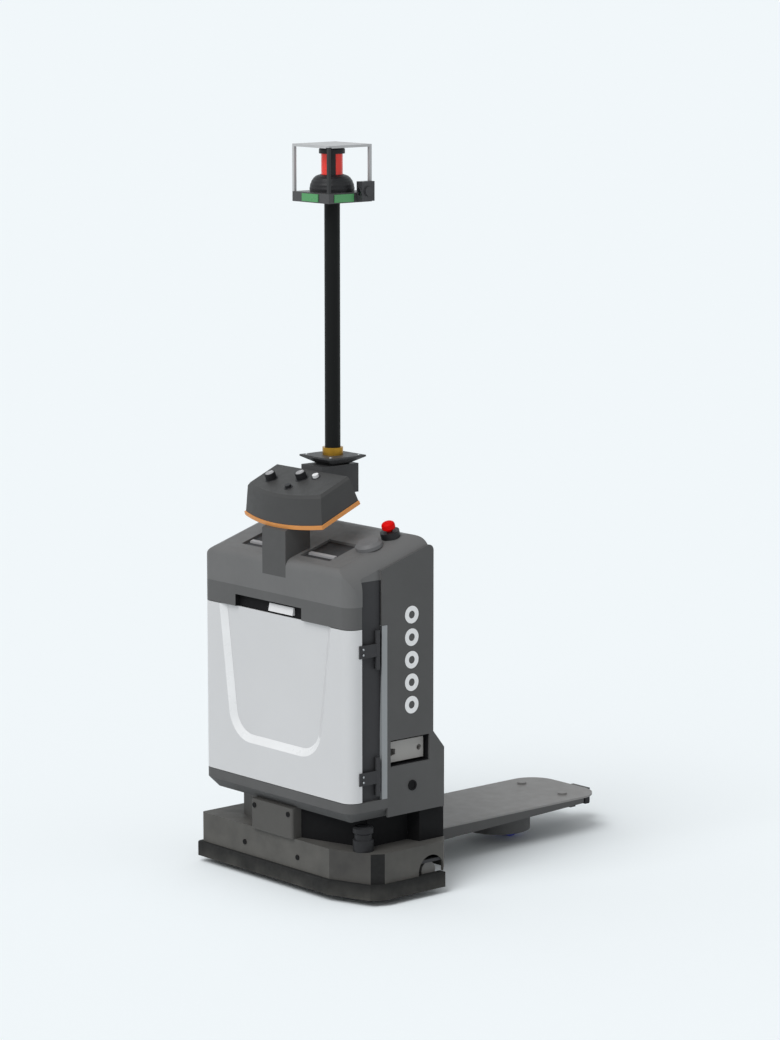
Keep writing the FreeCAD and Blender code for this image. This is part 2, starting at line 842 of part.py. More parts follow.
def floor_tray():
    """Tray that closes the body's underside and forms the dark apron below the door."""
    body = new_body("FloorTray")
    right = [("body_half", "front_y"), ("body_half", "panel_y"), ("panel_inner", "panel_y"),
             ("panel_inner", "lower_rear_y - panel_skin")]
    left = [(signed(-1, x), y) for x, y in reversed(right)]
    plan = polygon(sketch_on(body, "TrayPlan", "XY_Plane", "body_bottom"), right + left)
    block = pad(body, "TrayPad", plan, "door_bottom - door_gap - body_bottom")
    front = size("front_y")
    rounded = fillet(body, "TrayCorners", block,
                     lambda edge: along(edge, "Z") and near(edge.CenterOfMass.y, front), "corner_radius")
    low = size("body_bottom")
    chamfer(body, "ApronSlope", rounded,
                     lambda edge: near(edge.BoundBox.ZMax, low)
                     and edge.CenterOfMass.y < front + size("corner_radius"),
                     "apron_chamfer")
    inner = [("panel_inner - tray_wall", "front_y + 2 * tray_wall"),
             ("panel_inner - tray_wall", "rear_y - tray_wall")]
    mirrored = [(signed(-1, x), y) for x, y in reversed(inner)]
    hollow = polygon(sketch_on(body, "TrayInside", "XY_Plane", "door_bottom - door_gap"), inner + mirrored)
    pocket(body, "TrayHollow", hollow, "door_bottom - door_gap - body_bottom - tray_floor")
    return node(body, "floor_tray")


def body_frame():
    """Four square posts on the tray's floor, tied at the top and by a shelf on bearers at mid height.
    The front rail reaches out to the door channels and carries the foot of the console's stem."""
    pieces = []
    front = ("channel_y + frame_setback", "channel_y + frame_setback + frame_tube")
    rear = ("rear_y - tray_wall - frame_tube", "rear_y - tray_wall")
    rows = {"Front": front, "Rear": rear}
    for side, word in SIDES:
        ends = span(side, "frame_outer - frame_tube", "frame_outer")
        for row, depth in rows.items():
            pieces.append(box("Post" + row + word, ends, depth, ("body_bottom + tray_floor", "stem_foot")))
        for name, top in (("Upper", "stem_foot"), ("Middle", "shelf_height")):
            pieces.append(box("Tie" + name + word, ends, (front[0], rear[1]), (top + " - frame_tube", top)))
    reach = "body_half - channel_inset - channel_skin"
    for row, outer in (("Front", reach), ("Rear", "frame_outer")):
        pieces.append(box("Cross" + row, ("-(%s)" % outer, outer), rows[row],
                          ("stem_foot - frame_tube", "stem_foot")))
    pieces.append(box("EquipmentShelf", ("-(frame_outer - seam)", "frame_outer - seam"),
                      (front[0] + " + seam", rear[1] + " - seam"),
                      ("shelf_height", "shelf_height + shelf_thickness")))
    return node(fuse("BodyFrame", pieces), "body_frame")


def panel_outline():
    """Side view of the side panels: set back beside the strip, stepped at the rear, sloping on top."""
    return [
        ("panel_y", "panel_bottom"),
        ("lower_rear_y", "panel_bottom"),
        ("lower_rear_y", "lower_step_bottom"),
        ("rear_y", "lower_step_top"),
        ("rear_y", "panel_rear_top"),
        ("strip_y", "panel_front_top"),
        ("strip_y", "door_top + door_gap + seam"),
        ("panel_y", "door_top + door_gap + seam"),
    ]


def recess_outline(margin):
    low_y = "front_y + recess_start + " + margin
    high_y = "front_y + recess_start + recess_length - " + margin
    low_z, high_z = "recess_bottom + " + margin, "recess_bottom + recess_height - " + margin
    return [(low_y, low_z), (high_y, low_z), (high_y, high_z), (low_y, high_z)]


def side_panel(side, word):
    body = new_body("SidePanel" + word)
    start = "panel_inner" if side == 1 else "-body_half"
    view = polygon(sketch_on(body, "PanelView" + word, "YZ_Plane", start), panel_outline())
    sheet_metal = pad(body, "PanelPad" + word, view, "panel_skin")
    rear_top = size("panel_rear_top")
    rounded = fillet(body, "PanelCorner" + word, sheet_metal,
                     lambda edge: along(edge, "X") and near(edge.CenterOfMass.z, rear_top),
                     "corner_radius / 2")
    if side == 1:
        window = polygon(sketch_on(body, "ChargeWindow", "YZ_Plane", "body_half"),
                         recess_outline("recess_wall"))
        pocket(body, "ChargeOpening", window, "panel_skin")
    return node(body, "side_panel_" + word.lower())


def door_jambs():
    """On each side a recessed channel behind the door's edge, and a flush metal strip beside it."""
    pieces = []
    bottom = "door_bottom - door_gap"
    for side, word in SIDES:
        face = span(side, "body_half - channel_inset - channel_skin", "body_half - channel_inset")
        pieces.append(box("ChannelFace" + word, face, ("channel_y", "strip_y"), (bottom,
                                                                                 "cap_rear_bottom")))
        edge = span(side, "panel_inner - channel_inset", "body_half")
        pieces.append(box("SideStrip" + word, edge, ("strip_y", "panel_y - seam"),
                          (bottom, "door_top + door_gap")))
    return node(group("DoorJambs", pieces), "door_jambs")


def rear_cover():
    """Flat upper cover and a stepped lower cover, one above the other."""
    upper = box("RearUpper", ("-panel_inner", "panel_inner"), ("rear_y - panel_skin", "rear_y"),
                ("lower_step_top", "cap_rear_bottom"))
    body = new_body("RearLower")
    outline = [
        ("lower_rear_y - panel_skin", "body_bottom"), ("lower_rear_y", "body_bottom"),
        ("lower_rear_y", "lower_step_bottom"), ("rear_y", "lower_step_top"),
        ("rear_y - panel_skin", "lower_step_top"), ("lower_rear_y - panel_skin",
                                                    "lower_step_bottom - panel_skin"),
    ]
    view = polygon(sketch_on(body, "RearLowerView", "YZ_Plane", "-panel_inner"), outline)
    pad(body, "RearLowerPad", view, "2 * panel_inner")
    return node(group("RearCover", [upper, body]), "rear_cover")


def equipment():
    """Battery on the tray floor, controller box on the shelf above it."""
    floor, shelf = "body_bottom + tray_floor", "shelf_height + shelf_thickness"
    node(box("BatteryPack", ("-battery_width / 2", "battery_width / 2"),
             ("channel_y + battery_clear", "rear_y - tray_wall - frame_tube - overcut"),
             (floor, floor + " + battery_height")), "battery_pack")
    node(box("ControllerBox", ("-controller_width / 2", "controller_width / 2"),
             ("channel_y + controller_clear", "rear_y - controller_clear"),
             (shelf, shelf + " + controller_height")), "controller_box")


# ---- door ------------------------------------------------------------------------------------------

def front_door():
    """Door skin that wraps both front corners, with a U-shaped pressed relief on its face."""
    body = new_body("FrontDoor")
    right = [("body_half", "front_y"), ("body_half", "front_y + door_return"),
             ("body_half - door_skin", "front_y + door_return"), ("body_half - door_skin",
                                                                  "front_y + door_skin")]
    left = [(signed(-1, x), y) for x, y in reversed(right)]
    plan = polygon(sketch_on(body, "DoorPlan", "XY_Plane", "door_bottom"), right + left)
    skin = pad(body, "DoorPad", plan, "door_top - door_bottom")
    front, half = size("front_y"), size("body_half")
    rounded = fillet(body, "DoorCorners", skin,
                     lambda edge: along(edge, "Z") and near(edge.CenterOfMass.y, front)
                     and near(abs(edge.CenterOfMass.x), half), "corner_radius")
    # the XZ plane faces -Y, so an offset of minus front_y lies on the door's face
    relief = polygon(sketch_on(body, "ReliefFace", "XZ_Plane", "-front_y"), [
        ("-relief_top_width / 2", "door_top"), ("-relief_bottom_width / 2", "relief_bottom"),
        ("relief_bottom_width / 2", "relief_bottom"), ("relief_top_width / 2", "door_top")])
    pressed = pocket(body, "ReliefPress", relief, "relief_depth")
    floor = size("relief_bottom")
    half_width = size("relief_bottom_width") / 2
    swept = fillet(body, "ReliefCorners", pressed,
                   lambda edge: along(edge, "Y") and near(edge.CenterOfMass.z, floor)
                   and near(abs(edge.CenterOfMass.x), half_width), "relief_corner")
    top = size("door_top")
    ledge = chamfer(body, "ReliefLedge", swept,
                    lambda edge: near(edge.BoundBox.YMax, front) and near(edge.BoundBox.YMin, front)
                    and edge.BoundBox.ZMin < top - 1
                    and abs(edge.CenterOfMass.x) < half - size("corner_radius")
                    and edge.CenterOfMass.z > floor - 1, "relief_bevel")
    ledge.ChamferType = "Two distances"
    bind(ledge, "Size2", "relief_rise")
    return node(body, "front_door")


def door_hinges():
    """Upper and lower hinge: barrels fixed in the channel with their pin, leaf on the door."""
    barrels, pins, leaves = [], [], []
    for word, low in (("Upper", "hinge_upper"), ("Lower", "hinge_lower")):
        high = low + " + hinge_length"
        third = " + hinge_length / 3"
        two_thirds = " + 2 * hinge_length / 3"
        for part, ends in (("Low", (low, low + third)), ("High", (low + two_thirds, high))):
            tube = rod("Barrel" + word + part, "Z", "hinge_radius", ends[0], ends[1], ("hinge_x",
                                                                                       "hinge_y"))
            foot = box("BarrelFoot" + word + part, ("body_half - channel_inset", "hinge_x"),
                       ("hinge_y", "hinge_y + hinge_radius"), ends)
            bore = rod("BarrelBore" + word + part, "Z", "hinge_pin_radius", ends[0], ends[1], ("hinge_x",
                                                                                               "hinge_y"))
            barrels.append(cut("BarrelCut" + word + part, fuse("BarrelFuse" + word + part, [tube, foot]),
                               [bore]))
        pins.append(rod("HingePin" + word, "Z", "hinge_pin_radius", low, high, ("hinge_x", "hinge_y")))
        ends = (low + third + " + fit_gap", low + two_thirds + " - fit_gap")
        knuckle = rod("Knuckle" + word, "Z", "hinge_radius", ends[0], ends[1], ("hinge_x", "hinge_y"))
        leaf = box("Leaf" + word, ("body_half", "body_half + hinge_leaf"),
                   ("front_y + corner_radius", "hinge_y"), ends)
        bore = rod("KnuckleBore" + word, "Z", "hinge_pin_radius + hinge_fit", ends[0], ends[1],
                   ("hinge_x", "hinge_y"))
        leaves.append(cut("LeafCut" + word, fuse("LeafFuse" + word, [knuckle, leaf]), [bore]))
    node(group("HingeBarrels", barrels + pins), "hinge_barrels")
    node(group("HingeLeaves", leaves), "hinge_leaves")


def door_header():
    """Panel between the door and the cap, flush with both, with a recess for the latch."""
    body = new_body("DoorHeader")
    plan = polygon(sketch_on(body, "HeaderPlan", "XY_Plane", "door_top + door_gap"),
                   mirrored([("body_half", "front_y"), ("body_half", "channel_y - door_gap")]))
    block = pad(body, "HeaderPad", plan, "belt_height - door_top - door_gap")
    front = size("front_y")
    fillet(body, "HeaderCorners", block,
           lambda edge: along(edge, "Z") and near(edge.CenterOfMass.y, front), "corner_radius")
    recess = polygon(sketch_on(body, "LatchRecess", "XZ_Plane", "-front_y"), [
        ("-latch_recess_left", "door_top"), ("latch_recess_right", "door_top"),
        ("latch_recess_right", "latch_bottom + latch_height + latch_room"),
        ("-latch_recess_left", "latch_bottom + latch_height + latch_room")])
    pocket(body, "LatchRecessCut", recess, "latch_recess_depth")
    return node(body, "door_header")


def door_latch():
    """Paddle latch in the header's recess, hinged along its upper rear edge."""
    body = new_body("DoorLatch")
    back = "front_y + latch_recess_depth - fit_gap"
    outline = [(back + " - latch_depth", "latch_bottom"), (back, "latch_bottom"),
               (back, "latch_bottom + latch_height"), (back + " - latch_depth / 2",
                                                       "latch_bottom + latch_height")]
    view = polygon(sketch_on(body, "LatchView", "YZ_Plane", "latch_shift - latch_width / 2"), outline)
    pad(body, "LatchPad", view, "latch_width")
    return node(body, "door_latch")


# ---- cap -------------------------------------------------------------------------------------------

def slope_height(run):
    """Height of the cap's sloping top at a distance behind the front."""
    return "cap_shoulder + (%s) * tan(cap_slope * 1deg)" % run


def slope_strip(run, low, high):
    """Side view of a strip that follows the cap's slope, between two heights above it."""
    near_y, far_y = "front_y + " + run[0], "front_y + " + run[1]
    near_z, far_z = slope_height(run[0]), slope_height(run[1])
    return [(near_y, "%s + %s" % (near_z, low)), (far_y, "%s + %s" % (far_z, low)),
            (far_y, "%s + %s" % (far_z, high)), (near_y, "%s + %s" % (near_z, high))]


def cap_shoulders():
    """Block that follows the cap's slope, with broad round shoulders along both sides."""
    body = new_body("CapShoulders")
    plan = polygon(sketch_on(body, "ShoulderPlan", "XY_Plane", "-shoulder_reach"), mirrored([
        ("body_half", "-shoulder_reach"), ("body_half", "shoulder_reach")]))
    block = pad(body, "ShoulderPad", plan, "shoulder_reach + overcut")
    top, half = size("overcut"), size("body_half")
    fillet(body, "ShoulderRound", block,
           lambda edge: near(edge.BoundBox.ZMin, top) and near(abs(edge.CenterOfMass.x), half),
           "cap_shoulder_radius")
    place(body, "0", "front_y", "cap_shoulder")
    turn(body, "X", "cap_slope")
    return body


def top_cap():
    """Moulded cap: sloping top, round shoulders, hollow below, seats for panels, stem and trays."""
    body = new_body("TopCap")
    outline = [("front_y", "belt_height"), ("front_y", "cap_shoulder"), ("rear_y", "cap_rear_top"),
               ("rear_y", "cap_rear_bottom"), ("channel_y", "cap_rear_bottom"), ("channel_y",
                                                                                 "belt_height")]
    view = polygon(sketch_on(body, "CapView", "YZ_Plane", "-body_half"), outline)
    block = pad(body, "CapPad", view, "body_width")
    front, rear, half = size("front_y"), size("rear_y"), size("body_half")
    shoulder, top = size("cap_shoulder"), size("cap_rear_top")

    corners = fillet(body, "CapFrontCorners", block,
                     lambda edge: along(edge, "Z") and near(edge.CenterOfMass.y, front), "corner_radius")
    brow = fillet(body, "CapRearRound", corners,
                  lambda edge: along(edge, "X") and near(edge.CenterOfMass.z, top), "cap_rear_round")

    def upper_rim(edge):
        return edge.BoundBox.ZMax > shoulder - 1 and edge.BoundBox.ZMin > shoulder - 1 \
            and (near(edge.BoundBox.YMax, front) or near(abs(edge.CenterOfMass.x), half)
                 or edge.CenterOfMass.y < front + size("corner_radius"))

    rim = fillet(body, "CapRim", brow, upper_rim, "cap_front_round")
    cavity = [("front_y + cap_wall", "belt_height - overcut"),
              ("front_y + cap_wall", "cap_shoulder - cap_wall"),
              ("rear_y - cap_rear_wall", "cap_rear_top - cap_wall - cap_rear_wall * tan(cap_slope * 1deg)"),
              ("rear_y - cap_rear_wall", "cap_rear_bottom - overcut"),
              ("channel_y + overcut", "cap_rear_bottom - overcut"),
              ("channel_y + overcut", "belt_height - overcut")]
    hollow = polygon(sketch_on(body, "CapInside", "YZ_Plane", "body_half - cap_side_wall"), cavity)
    pocket(body, "CapHollow", hollow, "body_width - 2 * cap_side_wall")
    seat = [("strip_y - seam", "cap_rear_bottom - overcut"), ("rear_y + seam", "cap_rear_bottom - overcut"),
            ("rear_y + seam", "panel_rear_top + seam * tan(cap_slope * 1deg) + seam"),
            ("strip_y - seam", "panel_front_top - seam * tan(cap_slope * 1deg) + seam")]
    for side, word, start in ((1, "Right", "body_half"), (-1, "Left", "-panel_inner")):
        view = polygon(sketch_on(body, "PanelSeat" + word, "YZ_Plane", start), seat)
        pocket(body, "PanelSeatCut" + word, view, "panel_skin")
    for side, word in SIDES:
        ends = span(side, "body_half - channel_inset", "body_half + overcut")
        groove = polygon(sketch_on(body, "Groove" + word, "XY_Plane", "cap_rear_top"), [
            (ends[0], "channel_y"), (ends[1], "channel_y"), (ends[1], "strip_y"), (ends[0], "strip_y")])
        pocket(body, "GrooveCut" + word, groove, "cap_rear_top - cap_rear_bottom + overcut")
        ends = span(side, "tray_recess_side", "tray_recess_side + tray_recess_width")
        run = ("tray_recess_start", "tray_recess_start + tray_recess_run")
        view = sketch_on(body, "TrayView" + word, "YZ_Plane", ends[1])
        pocket(body, "TrayCut" + word, polygon(view, slope_strip(run, "-tray_recess_depth", "cap_wall")),
               "tray_recess_width")
    notch = [("-stem_width / 2", "front_y - overcut"), ("stem_width / 2", "front_y - overcut"),
             ("stem_width / 2", "front_y + stem_depth"), ("-stem_width / 2", "front_y + stem_depth")]
    stem = polygon(sketch_on(body, "StemNotch", "XY_Plane", "cap_rear_top"), notch)
    pocket(body, "StemCut", stem, "cap_rear_top - stem_foot")
    return node(common("TopCapTrimmed", body, cap_shoulders()), "top_cap")


def tray_bars():
    """A light bar that lies in each tray recess, to hold papers down."""
    pieces = []
    run = ("tray_bar_start", "tray_bar_start + tray_bar_run")
    outline = slope_strip(run, "-tray_recess_depth", "tray_bar_height - tray_recess_depth")
    for side, word in SIDES:
        ends = span(side, "tray_recess_side + tray_bar_margin",
                    "tray_recess_side + tray_recess_width - tray_bar_margin")
        body = new_body("TrayBar" + word)
        view = polygon(sketch_on(body, "TrayBarView" + word, "YZ_Plane", ends[0]), outline)
        pad(body, "TrayBarPad" + word, view, "tray_recess_width - 2 * tray_bar_margin")
        pieces.append(body)
    return node(group("TrayBars", pieces), "tray_bars")


def cap_fitting(name, offset, run, radius, lift, height):
    """A round fitting that stands square on the cap's slope."""
    item = doc.addObject("Part::Cylinder", name)
    bind(item, "Radius", radius)
    bind(item, "Height", height)
    place(item, offset,
          "front_y + %s - (%s) * sin(cap_slope * 1deg)" % (run, lift),
          "%s + (%s) * cos(cap_slope * 1deg)" % (slope_height(run), lift))
    turn(item, "X", "cap_slope")
    return item


def emergency_stop():
    """Base ring with a bore, and a mushroom button whose stem slides in it."""
    ring = cap_fitting("StopBase", "stop_offset", "stop_setback", "stop_base_radius", "0",
                       "stop_base_height")
    bore = cap_fitting("StopBore", "stop_offset", "stop_setback", "stop_stem_radius + fit_gap",
                       "stop_bore_floor",
                       "stop_base_height")
    node(cut("StopHousing", ring, [bore]), "stop_base")
    body = new_body("StopButton")
    gap = "stop_travel + fit_gap"
    foot = "stop_bore_floor - stop_base_height + " + gap
    crown = gap + " + stop_head_height"
    profile = [("0", foot), ("stop_stem_radius", foot), ("stop_stem_radius", gap),
               ("stop_head_radius - stop_head_taper", gap), ("stop_head_radius", gap + " + stop_head_edge"),
               ("stop_head_radius", crown + " - stop_head_edge"),
               ("stop_head_radius - stop_head_crown", crown), ("0", crown)]
    section = polygon(sketch_on(body, "StopSection", "XZ_Plane", "0"), profile)
    revolve(body, "StopTurned", section)
    place(body, "stop_offset", "front_y + stop_setback - stop_base_height * sin(cap_slope * 1deg)",
          "%s + stop_base_height * cos(cap_slope * 1deg)" % slope_height("stop_setback"))
    turn(body, "X", "cap_slope")
    node(body, "stop_button")


def sounder():
    """Low round sounder with a bevelled rim."""
    body = new_body("SounderDome")
    section = polygon(sketch_on(body, "SounderSection", "XZ_Plane", "0"), [
        ("0", "0"), ("sounder_radius", "0"), ("sounder_radius", "sounder_height - sounder_round"),
        ("sounder_radius - sounder_round", "sounder_height"), ("0", "sounder_height")])
    revolve(body, "SounderTurned", section)
    place(body, "sounder_offset", "front_y + sounder_setback", slope_height("sounder_setback"))
    turn(body, "X", "cap_slope")
    return node(body, "sounder_dome")


# ---- right side fittings ---------------------------------------------------------------------------

def charging_port():
    """Open housing behind the side panel, with the contact block seated on its back wall."""
    body = new_body("ChargeHousing")
    outer = polygon(sketch_on(body, "HousingFace", "YZ_Plane", "panel_inner - recess_depth"),
                    recess_outline("0"))
    pad(body, "HousingPad", outer, "recess_depth")
    inner = polygon(sketch_on(body, "HousingInside", "YZ_Plane", "panel_inner"),
                    recess_outline("recess_wall"))
    pocket(body, "HousingHollow", inner, "recess_depth - recess_wall")
    node(body, "charge_housing")

    body = new_body("ContactBlock")
    low_y = "front_y + recess_start + contact_margin"
    high_y = "front_y + recess_start + recess_length - contact_margin"
    low_z, high_z = "recess_bottom + contact_margin", "recess_bottom + recess_height - contact_margin"
    middle = "recess_bottom + recess_height / 2"
    outline = [(low_y, low_z), (high_y, low_z), (high_y, high_z), (low_y, high_z),
               (low_y, middle + " + contact_notch / 2"),
               (low_y + " + contact_notch", middle + " + contact_notch / 3"),
               (low_y + " + contact_notch", middle + " - contact_notch / 3"),
               (low_y, middle + " - contact_notch / 2")]
    start = "panel_inner - recess_depth + recess_wall"
    face = polygon(sketch_on(body, "ContactFace", "YZ_Plane", start), outline)
    pad(body, "ContactPad", face, "contact_block")
    hole = circle(sketch_on(body, "ContactHole", "YZ_Plane", start + " + contact_block"),
                  high_y + " - 2 * contact_hole", middle, "contact_hole")
    pocket(body, "ContactHoleCut", hole, "contact_block / 2")
    node(body, "contact_block")


def key_switch():
    """Round key switch on the right panel, with a raised ring."""
    across = ("front_y + key_setback", "key_height")
    ring = rod("KeyRing", "X", "key_radius", "body_half", "body_half + key_proud", across)
    face = rod("KeyFace", "X", "key_radius - key_ring", "body_half + key_proud - key_sunk",
               "body_half + key_proud",
               across)
    return node(cut("KeySwitch", ring, [face]), "key_switch")


def side_marks():
    """Plain rings in a column on the right panel."""
    pieces = []
    for i in range(int(size("mark_count"))):
        across = ("front_y + mark_setback", "mark_height + %d * mark_pitch" % i)
        disc = rod("MarkDisc%d" % i, "X", "mark_radius", "body_half", "body_half + mark_skin", across)
        hole = rod("MarkHole%d" % i, "X", "mark_hole", "body_half", "body_half + mark_skin", across)
        pieces.append(cut("Mark%d" % i, disc, [hole]))
    return node(group("SideMarks", pieces), "side_marks")


# ---- console ---------------------------------------------------------------------------------------

def console_sketch(body, name, offset, grow, front):
    """Plan of the console head: straight sides and back, arched front whose crown lies at front."""
    sketch = sketch_on(body, name, "XY_Plane", offset)
    wide, deep, bulge = size("console_width") / 2, size("console_depth"), size("console_bulge")
    corners = [FreeCAD.Vector(wide, bulge, 0), FreeCAD.Vector(wide, deep, 0),
               FreeCAD.Vector(-wide, deep, 0), FreeCAD.Vector(-wide, bulge, 0)]
    for i in range(3):
        sketch.addGeometry(Part.LineSegment(corners[i], corners[i + 1]))
    sketch.addGeometry(Part.Arc(corners[3], FreeCAD.Vector(0, 0, 0), corners[0]))
    for i in range(4):
        sketch.addConstraint(Sketcher.Constraint("Coincident", i, 2, (i + 1) % 4, 1))
    half = "console_width / 2 + (%s)" % grow
    shoulder = "console_bulge + (%s)" % front
    pin_point(sketch, 0, 1, half, shoulder)
    pin_point(sketch, 0, 2, half, "console_depth")
    pin_point(sketch, 1, 2, "-(%s)" % half, "console_depth")
    pin_point(sketch, 2, 2, "-(%s)" % half, shoulder)
    crown = sketch.addGeometry(Part.Point(FreeCAD.Vector(0, 0, 0)), True)
    sketch.addConstraint(Sketcher.Constraint("PointOnObject", crown, 1, 3))
    pin_point(sketch, crown, 1, "0", front)
    return sketch


def on_console(item):
    """Places an object in the tilted frame of the console head."""
    place(item, "0", "console_y", "console_foot")
    turn(item, "X", "console_tilt")
    return item


def console_head():
    """Orange band below, and a shell above it that tapers to a bevelled top face."""
    body = new_body("ConsoleBand")
    pad(body, "BandPad", console_sketch(body, "BandPlan", "0", "band_proud", "-band_proud"), "band_height")
    node(on_console(body), "console_band")
    body = new_body("ConsoleShell")
    low = console_sketch(body, "ShellLow", "band_height", "0", "0")
    rim = console_sketch(body, "ShellRim", "console_height - console_edge", "-console_taper",
                         "console_rake")
    top = console_sketch(body, "ShellTop", "console_height", "-console_taper - console_edge",
                         "console_rake + console_edge")
    doc.recompute()
    block = body.newObject("PartDesign::AdditiveLoft", "ShellLoft")
    block.Profile = low
    block.Sections = [rim, top]
    block.Ruled = True
    wells = sketch_on(body, "ButtonWells", "XY_Plane", "console_height")
    for offset, run in (("button_white_offset", "button_white_run"), ("button_dark_offset",
                                                                      "button_dark_run")):
        circle(wells, offset, run, "button_radius + fit_gap")
    pocket(body, "WellCut", wells, "button_stem + button_travel + fit_gap")
    node(on_console(body), "console_shell")


def console_control(name, label, offset, run, radius, low, high):
    """A round control square on the console's top face, between two heights from that face."""
    item = doc.addObject("Part::Cylinder", name)
    bind(item, "Radius", radius)
    bind(item, "Height", "(%s) - (%s)" % (high, low))
    above = "console_height + (%s)" % low
    place(item, offset, "console_y + (%s) * cos_tilt - (%s) * sin_tilt" % (run, above),
          "console_foot + (%s) * sin_tilt + (%s) * cos_tilt" % (run, above))
    turn(item, "X", "console_tilt")
    return node(item, label)


def console_controls():
    """Two rotary knobs on the face, and two push buttons whose stems sit in wells."""
    console_control("KnobLeft", "knob_left", "-knob_left_offset", "knob_left_run", "knob_radius",
                    "fit_gap", "knob_height")
    console_control("KnobRight", "knob_right", "knob_right_offset", "knob_right_run", "knob_radius",
                    "fit_gap", "knob_height")
    console_control("ButtonWhite", "button_white", "button_white_offset", "button_white_run",
                    "button_radius",
                    "-button_stem", "button_height")
    console_control("ButtonDark", "button_dark", "button_dark_offset", "button_dark_run", "button_radius",
                    "-button_stem", "button_height")


def console_stem():
    """Stem that rises flush with the cap's front and is cut on top to the console's tilt."""
    body = new_body("ConsoleStem")
    rear = "front_y + stem_depth"
    outline = [("front_y", "stem_foot"), (rear, "stem_foot"),
               (rear, "console_foot + (stem_depth - console_front_gap) * sin_tilt / cos_tilt"),
               ("front_y", "console_foot - console_front_gap * sin_tilt / cos_tilt")]
    view = polygon(sketch_on(body, "StemView", "YZ_Plane", "-stem_width / 2"), outline)
    pad(body, "StemPad", view, "stem_width")
    return node(body, "console_stem")


# ---- mast ------------------------------------------------------------------------------------------

def square(sketch, half, middle):
    return polygon(sketch, [("-(%s)" % half, "%s - %s" % (middle, half)), (half, "%s - %s" % (middle,
                                                                                              half)),
                            (half, "%s + %s" % (middle, half)), ("-(%s)" % half, "%s + %s" % (middle,
                                                                                              half))])


def flared_plate():
    """A lofted flare under a flat square plate."""
    body = new_body("MastPlate")
    low = square(sketch_on(body, "FlareLow", "XY_Plane", "bracket_top"), "flare_bottom_width / 2", "mast_y")
    high = square(sketch_on(body, "FlareHigh", "XY_Plane", "flare_top"), "flare_top_width / 2", "mast_y")
    doc.recompute()
    loft = body.newObject("PartDesign::AdditiveLoft", "Flare")
    loft.Profile = low
    loft.Sections = [high]
    loft.Ruled = True
    plan = square(sketch_on(body, "PlatePlan", "XY_Plane", "flare_top"), "flare_top_width / 2", "mast_y")
    pad(body, "PlatePad", plan, "mast_plate_thickness")
    return body


def mast_bracket():
    """Box bracket on the console's back, with the mast's flared plate welded on top."""
    body = new_body("MastBracket")
    outline = [("bracket_low_y", "bracket_low_z"), ("mast_y + bracket_rear", "bracket_low_z"),
               ("mast_y + bracket_rear", "bracket_top"),
               ("bracket_high_y", "bracket_top"), ("bracket_high_y", "bracket_high_z")]
    view = polygon(sketch_on(body, "BracketView", "YZ_Plane", "-bracket_width / 2"), outline)
    pad(body, "BracketPad", view, "bracket_width")
    return node(fuse("BracketWeldment", [body, flared_plate()]), "mast_bracket")


def mast():
    centre = ("0", "mast_y")
    collar = rod("CollarBlank", "Z", "collar_radius", "plate_top", "plate_top + collar_height", centre)
    seat = rod("CollarBore", "Z", "mast_diameter / 2", "plate_top", "plate_top + collar_height", centre)
    node(cut("MastCollar", collar, [seat]), "mast_collar")
    tube = rod("MastBlank", "Z", "mast_diameter / 2", "plate_top", "mast_top", centre)
    bore = rod("MastBore", "Z", "mast_diameter / 2 - mast_wall", "plate_top", "mast_top", centre)
    node(cut("MastTube", tube, [bore]), "mast_tube")


# ---- navigation scanner ----------------------------------------------------------------------------

def cage():
    """Scanner cage: floor box, four corner posts and a thin top plate, welded together."""
    wide = ("-cage_half", "cage_half")
    deep = ("mast_y - cage_half", "mast_y + cage_half")
    pieces = [box("CageFloor", wide, deep, ("mast_top", "cage_floor_top")),
              box("CageTop", wide, deep, ("cage_post_top", "cage_post_top + cage_top_thickness"))]
    for side, word in SIDES:
        ends = span(side, "cage_half - cage_post_width", "cage_half")
        for row, low in (("Front", "mast_y - cage_half"), ("Rear", "mast_y + cage_half - cage_post_width")):
            pieces.append(box("CagePost" + row + word, ends, (low, low + " + cage_post_width"),
                              ("cage_floor_top", "cage_post_top")))
    return node(fuse("ScannerCage", pieces), "scanner_cage")


def status_lights():
    """Light strips on the front and right faces of the cage floor."""
    heights = ("mast_top + (cage_floor_height - light_height) / 2",
               "mast_top + (cage_floor_height + light_height) / 2")
    front = box("LightFront", ("-light_width / 2", "light_width / 2"),
                ("mast_y - cage_half - light_skin", "mast_y - cage_half"), heights)
    right = box("LightSide", ("cage_half", "cage_half + light_skin"),
                ("mast_y - light_width / 2 - light_shift", "mast_y + light_width / 2 - light_shift"),
                heights)
    return node(group("StatusLights", [front, right]), "status_lights")


def turned(name, label, profile, x="0", y="mast_y", z="0"):
    """A revolved sub-part on a vertical axis."""
    body = new_body(name)
    revolve(body, name + "Turned", polygon(sketch_on(body, name + "Section", "XZ_Plane", "0"), profile))
    place(body, x, y, z)
    return node(body, label)


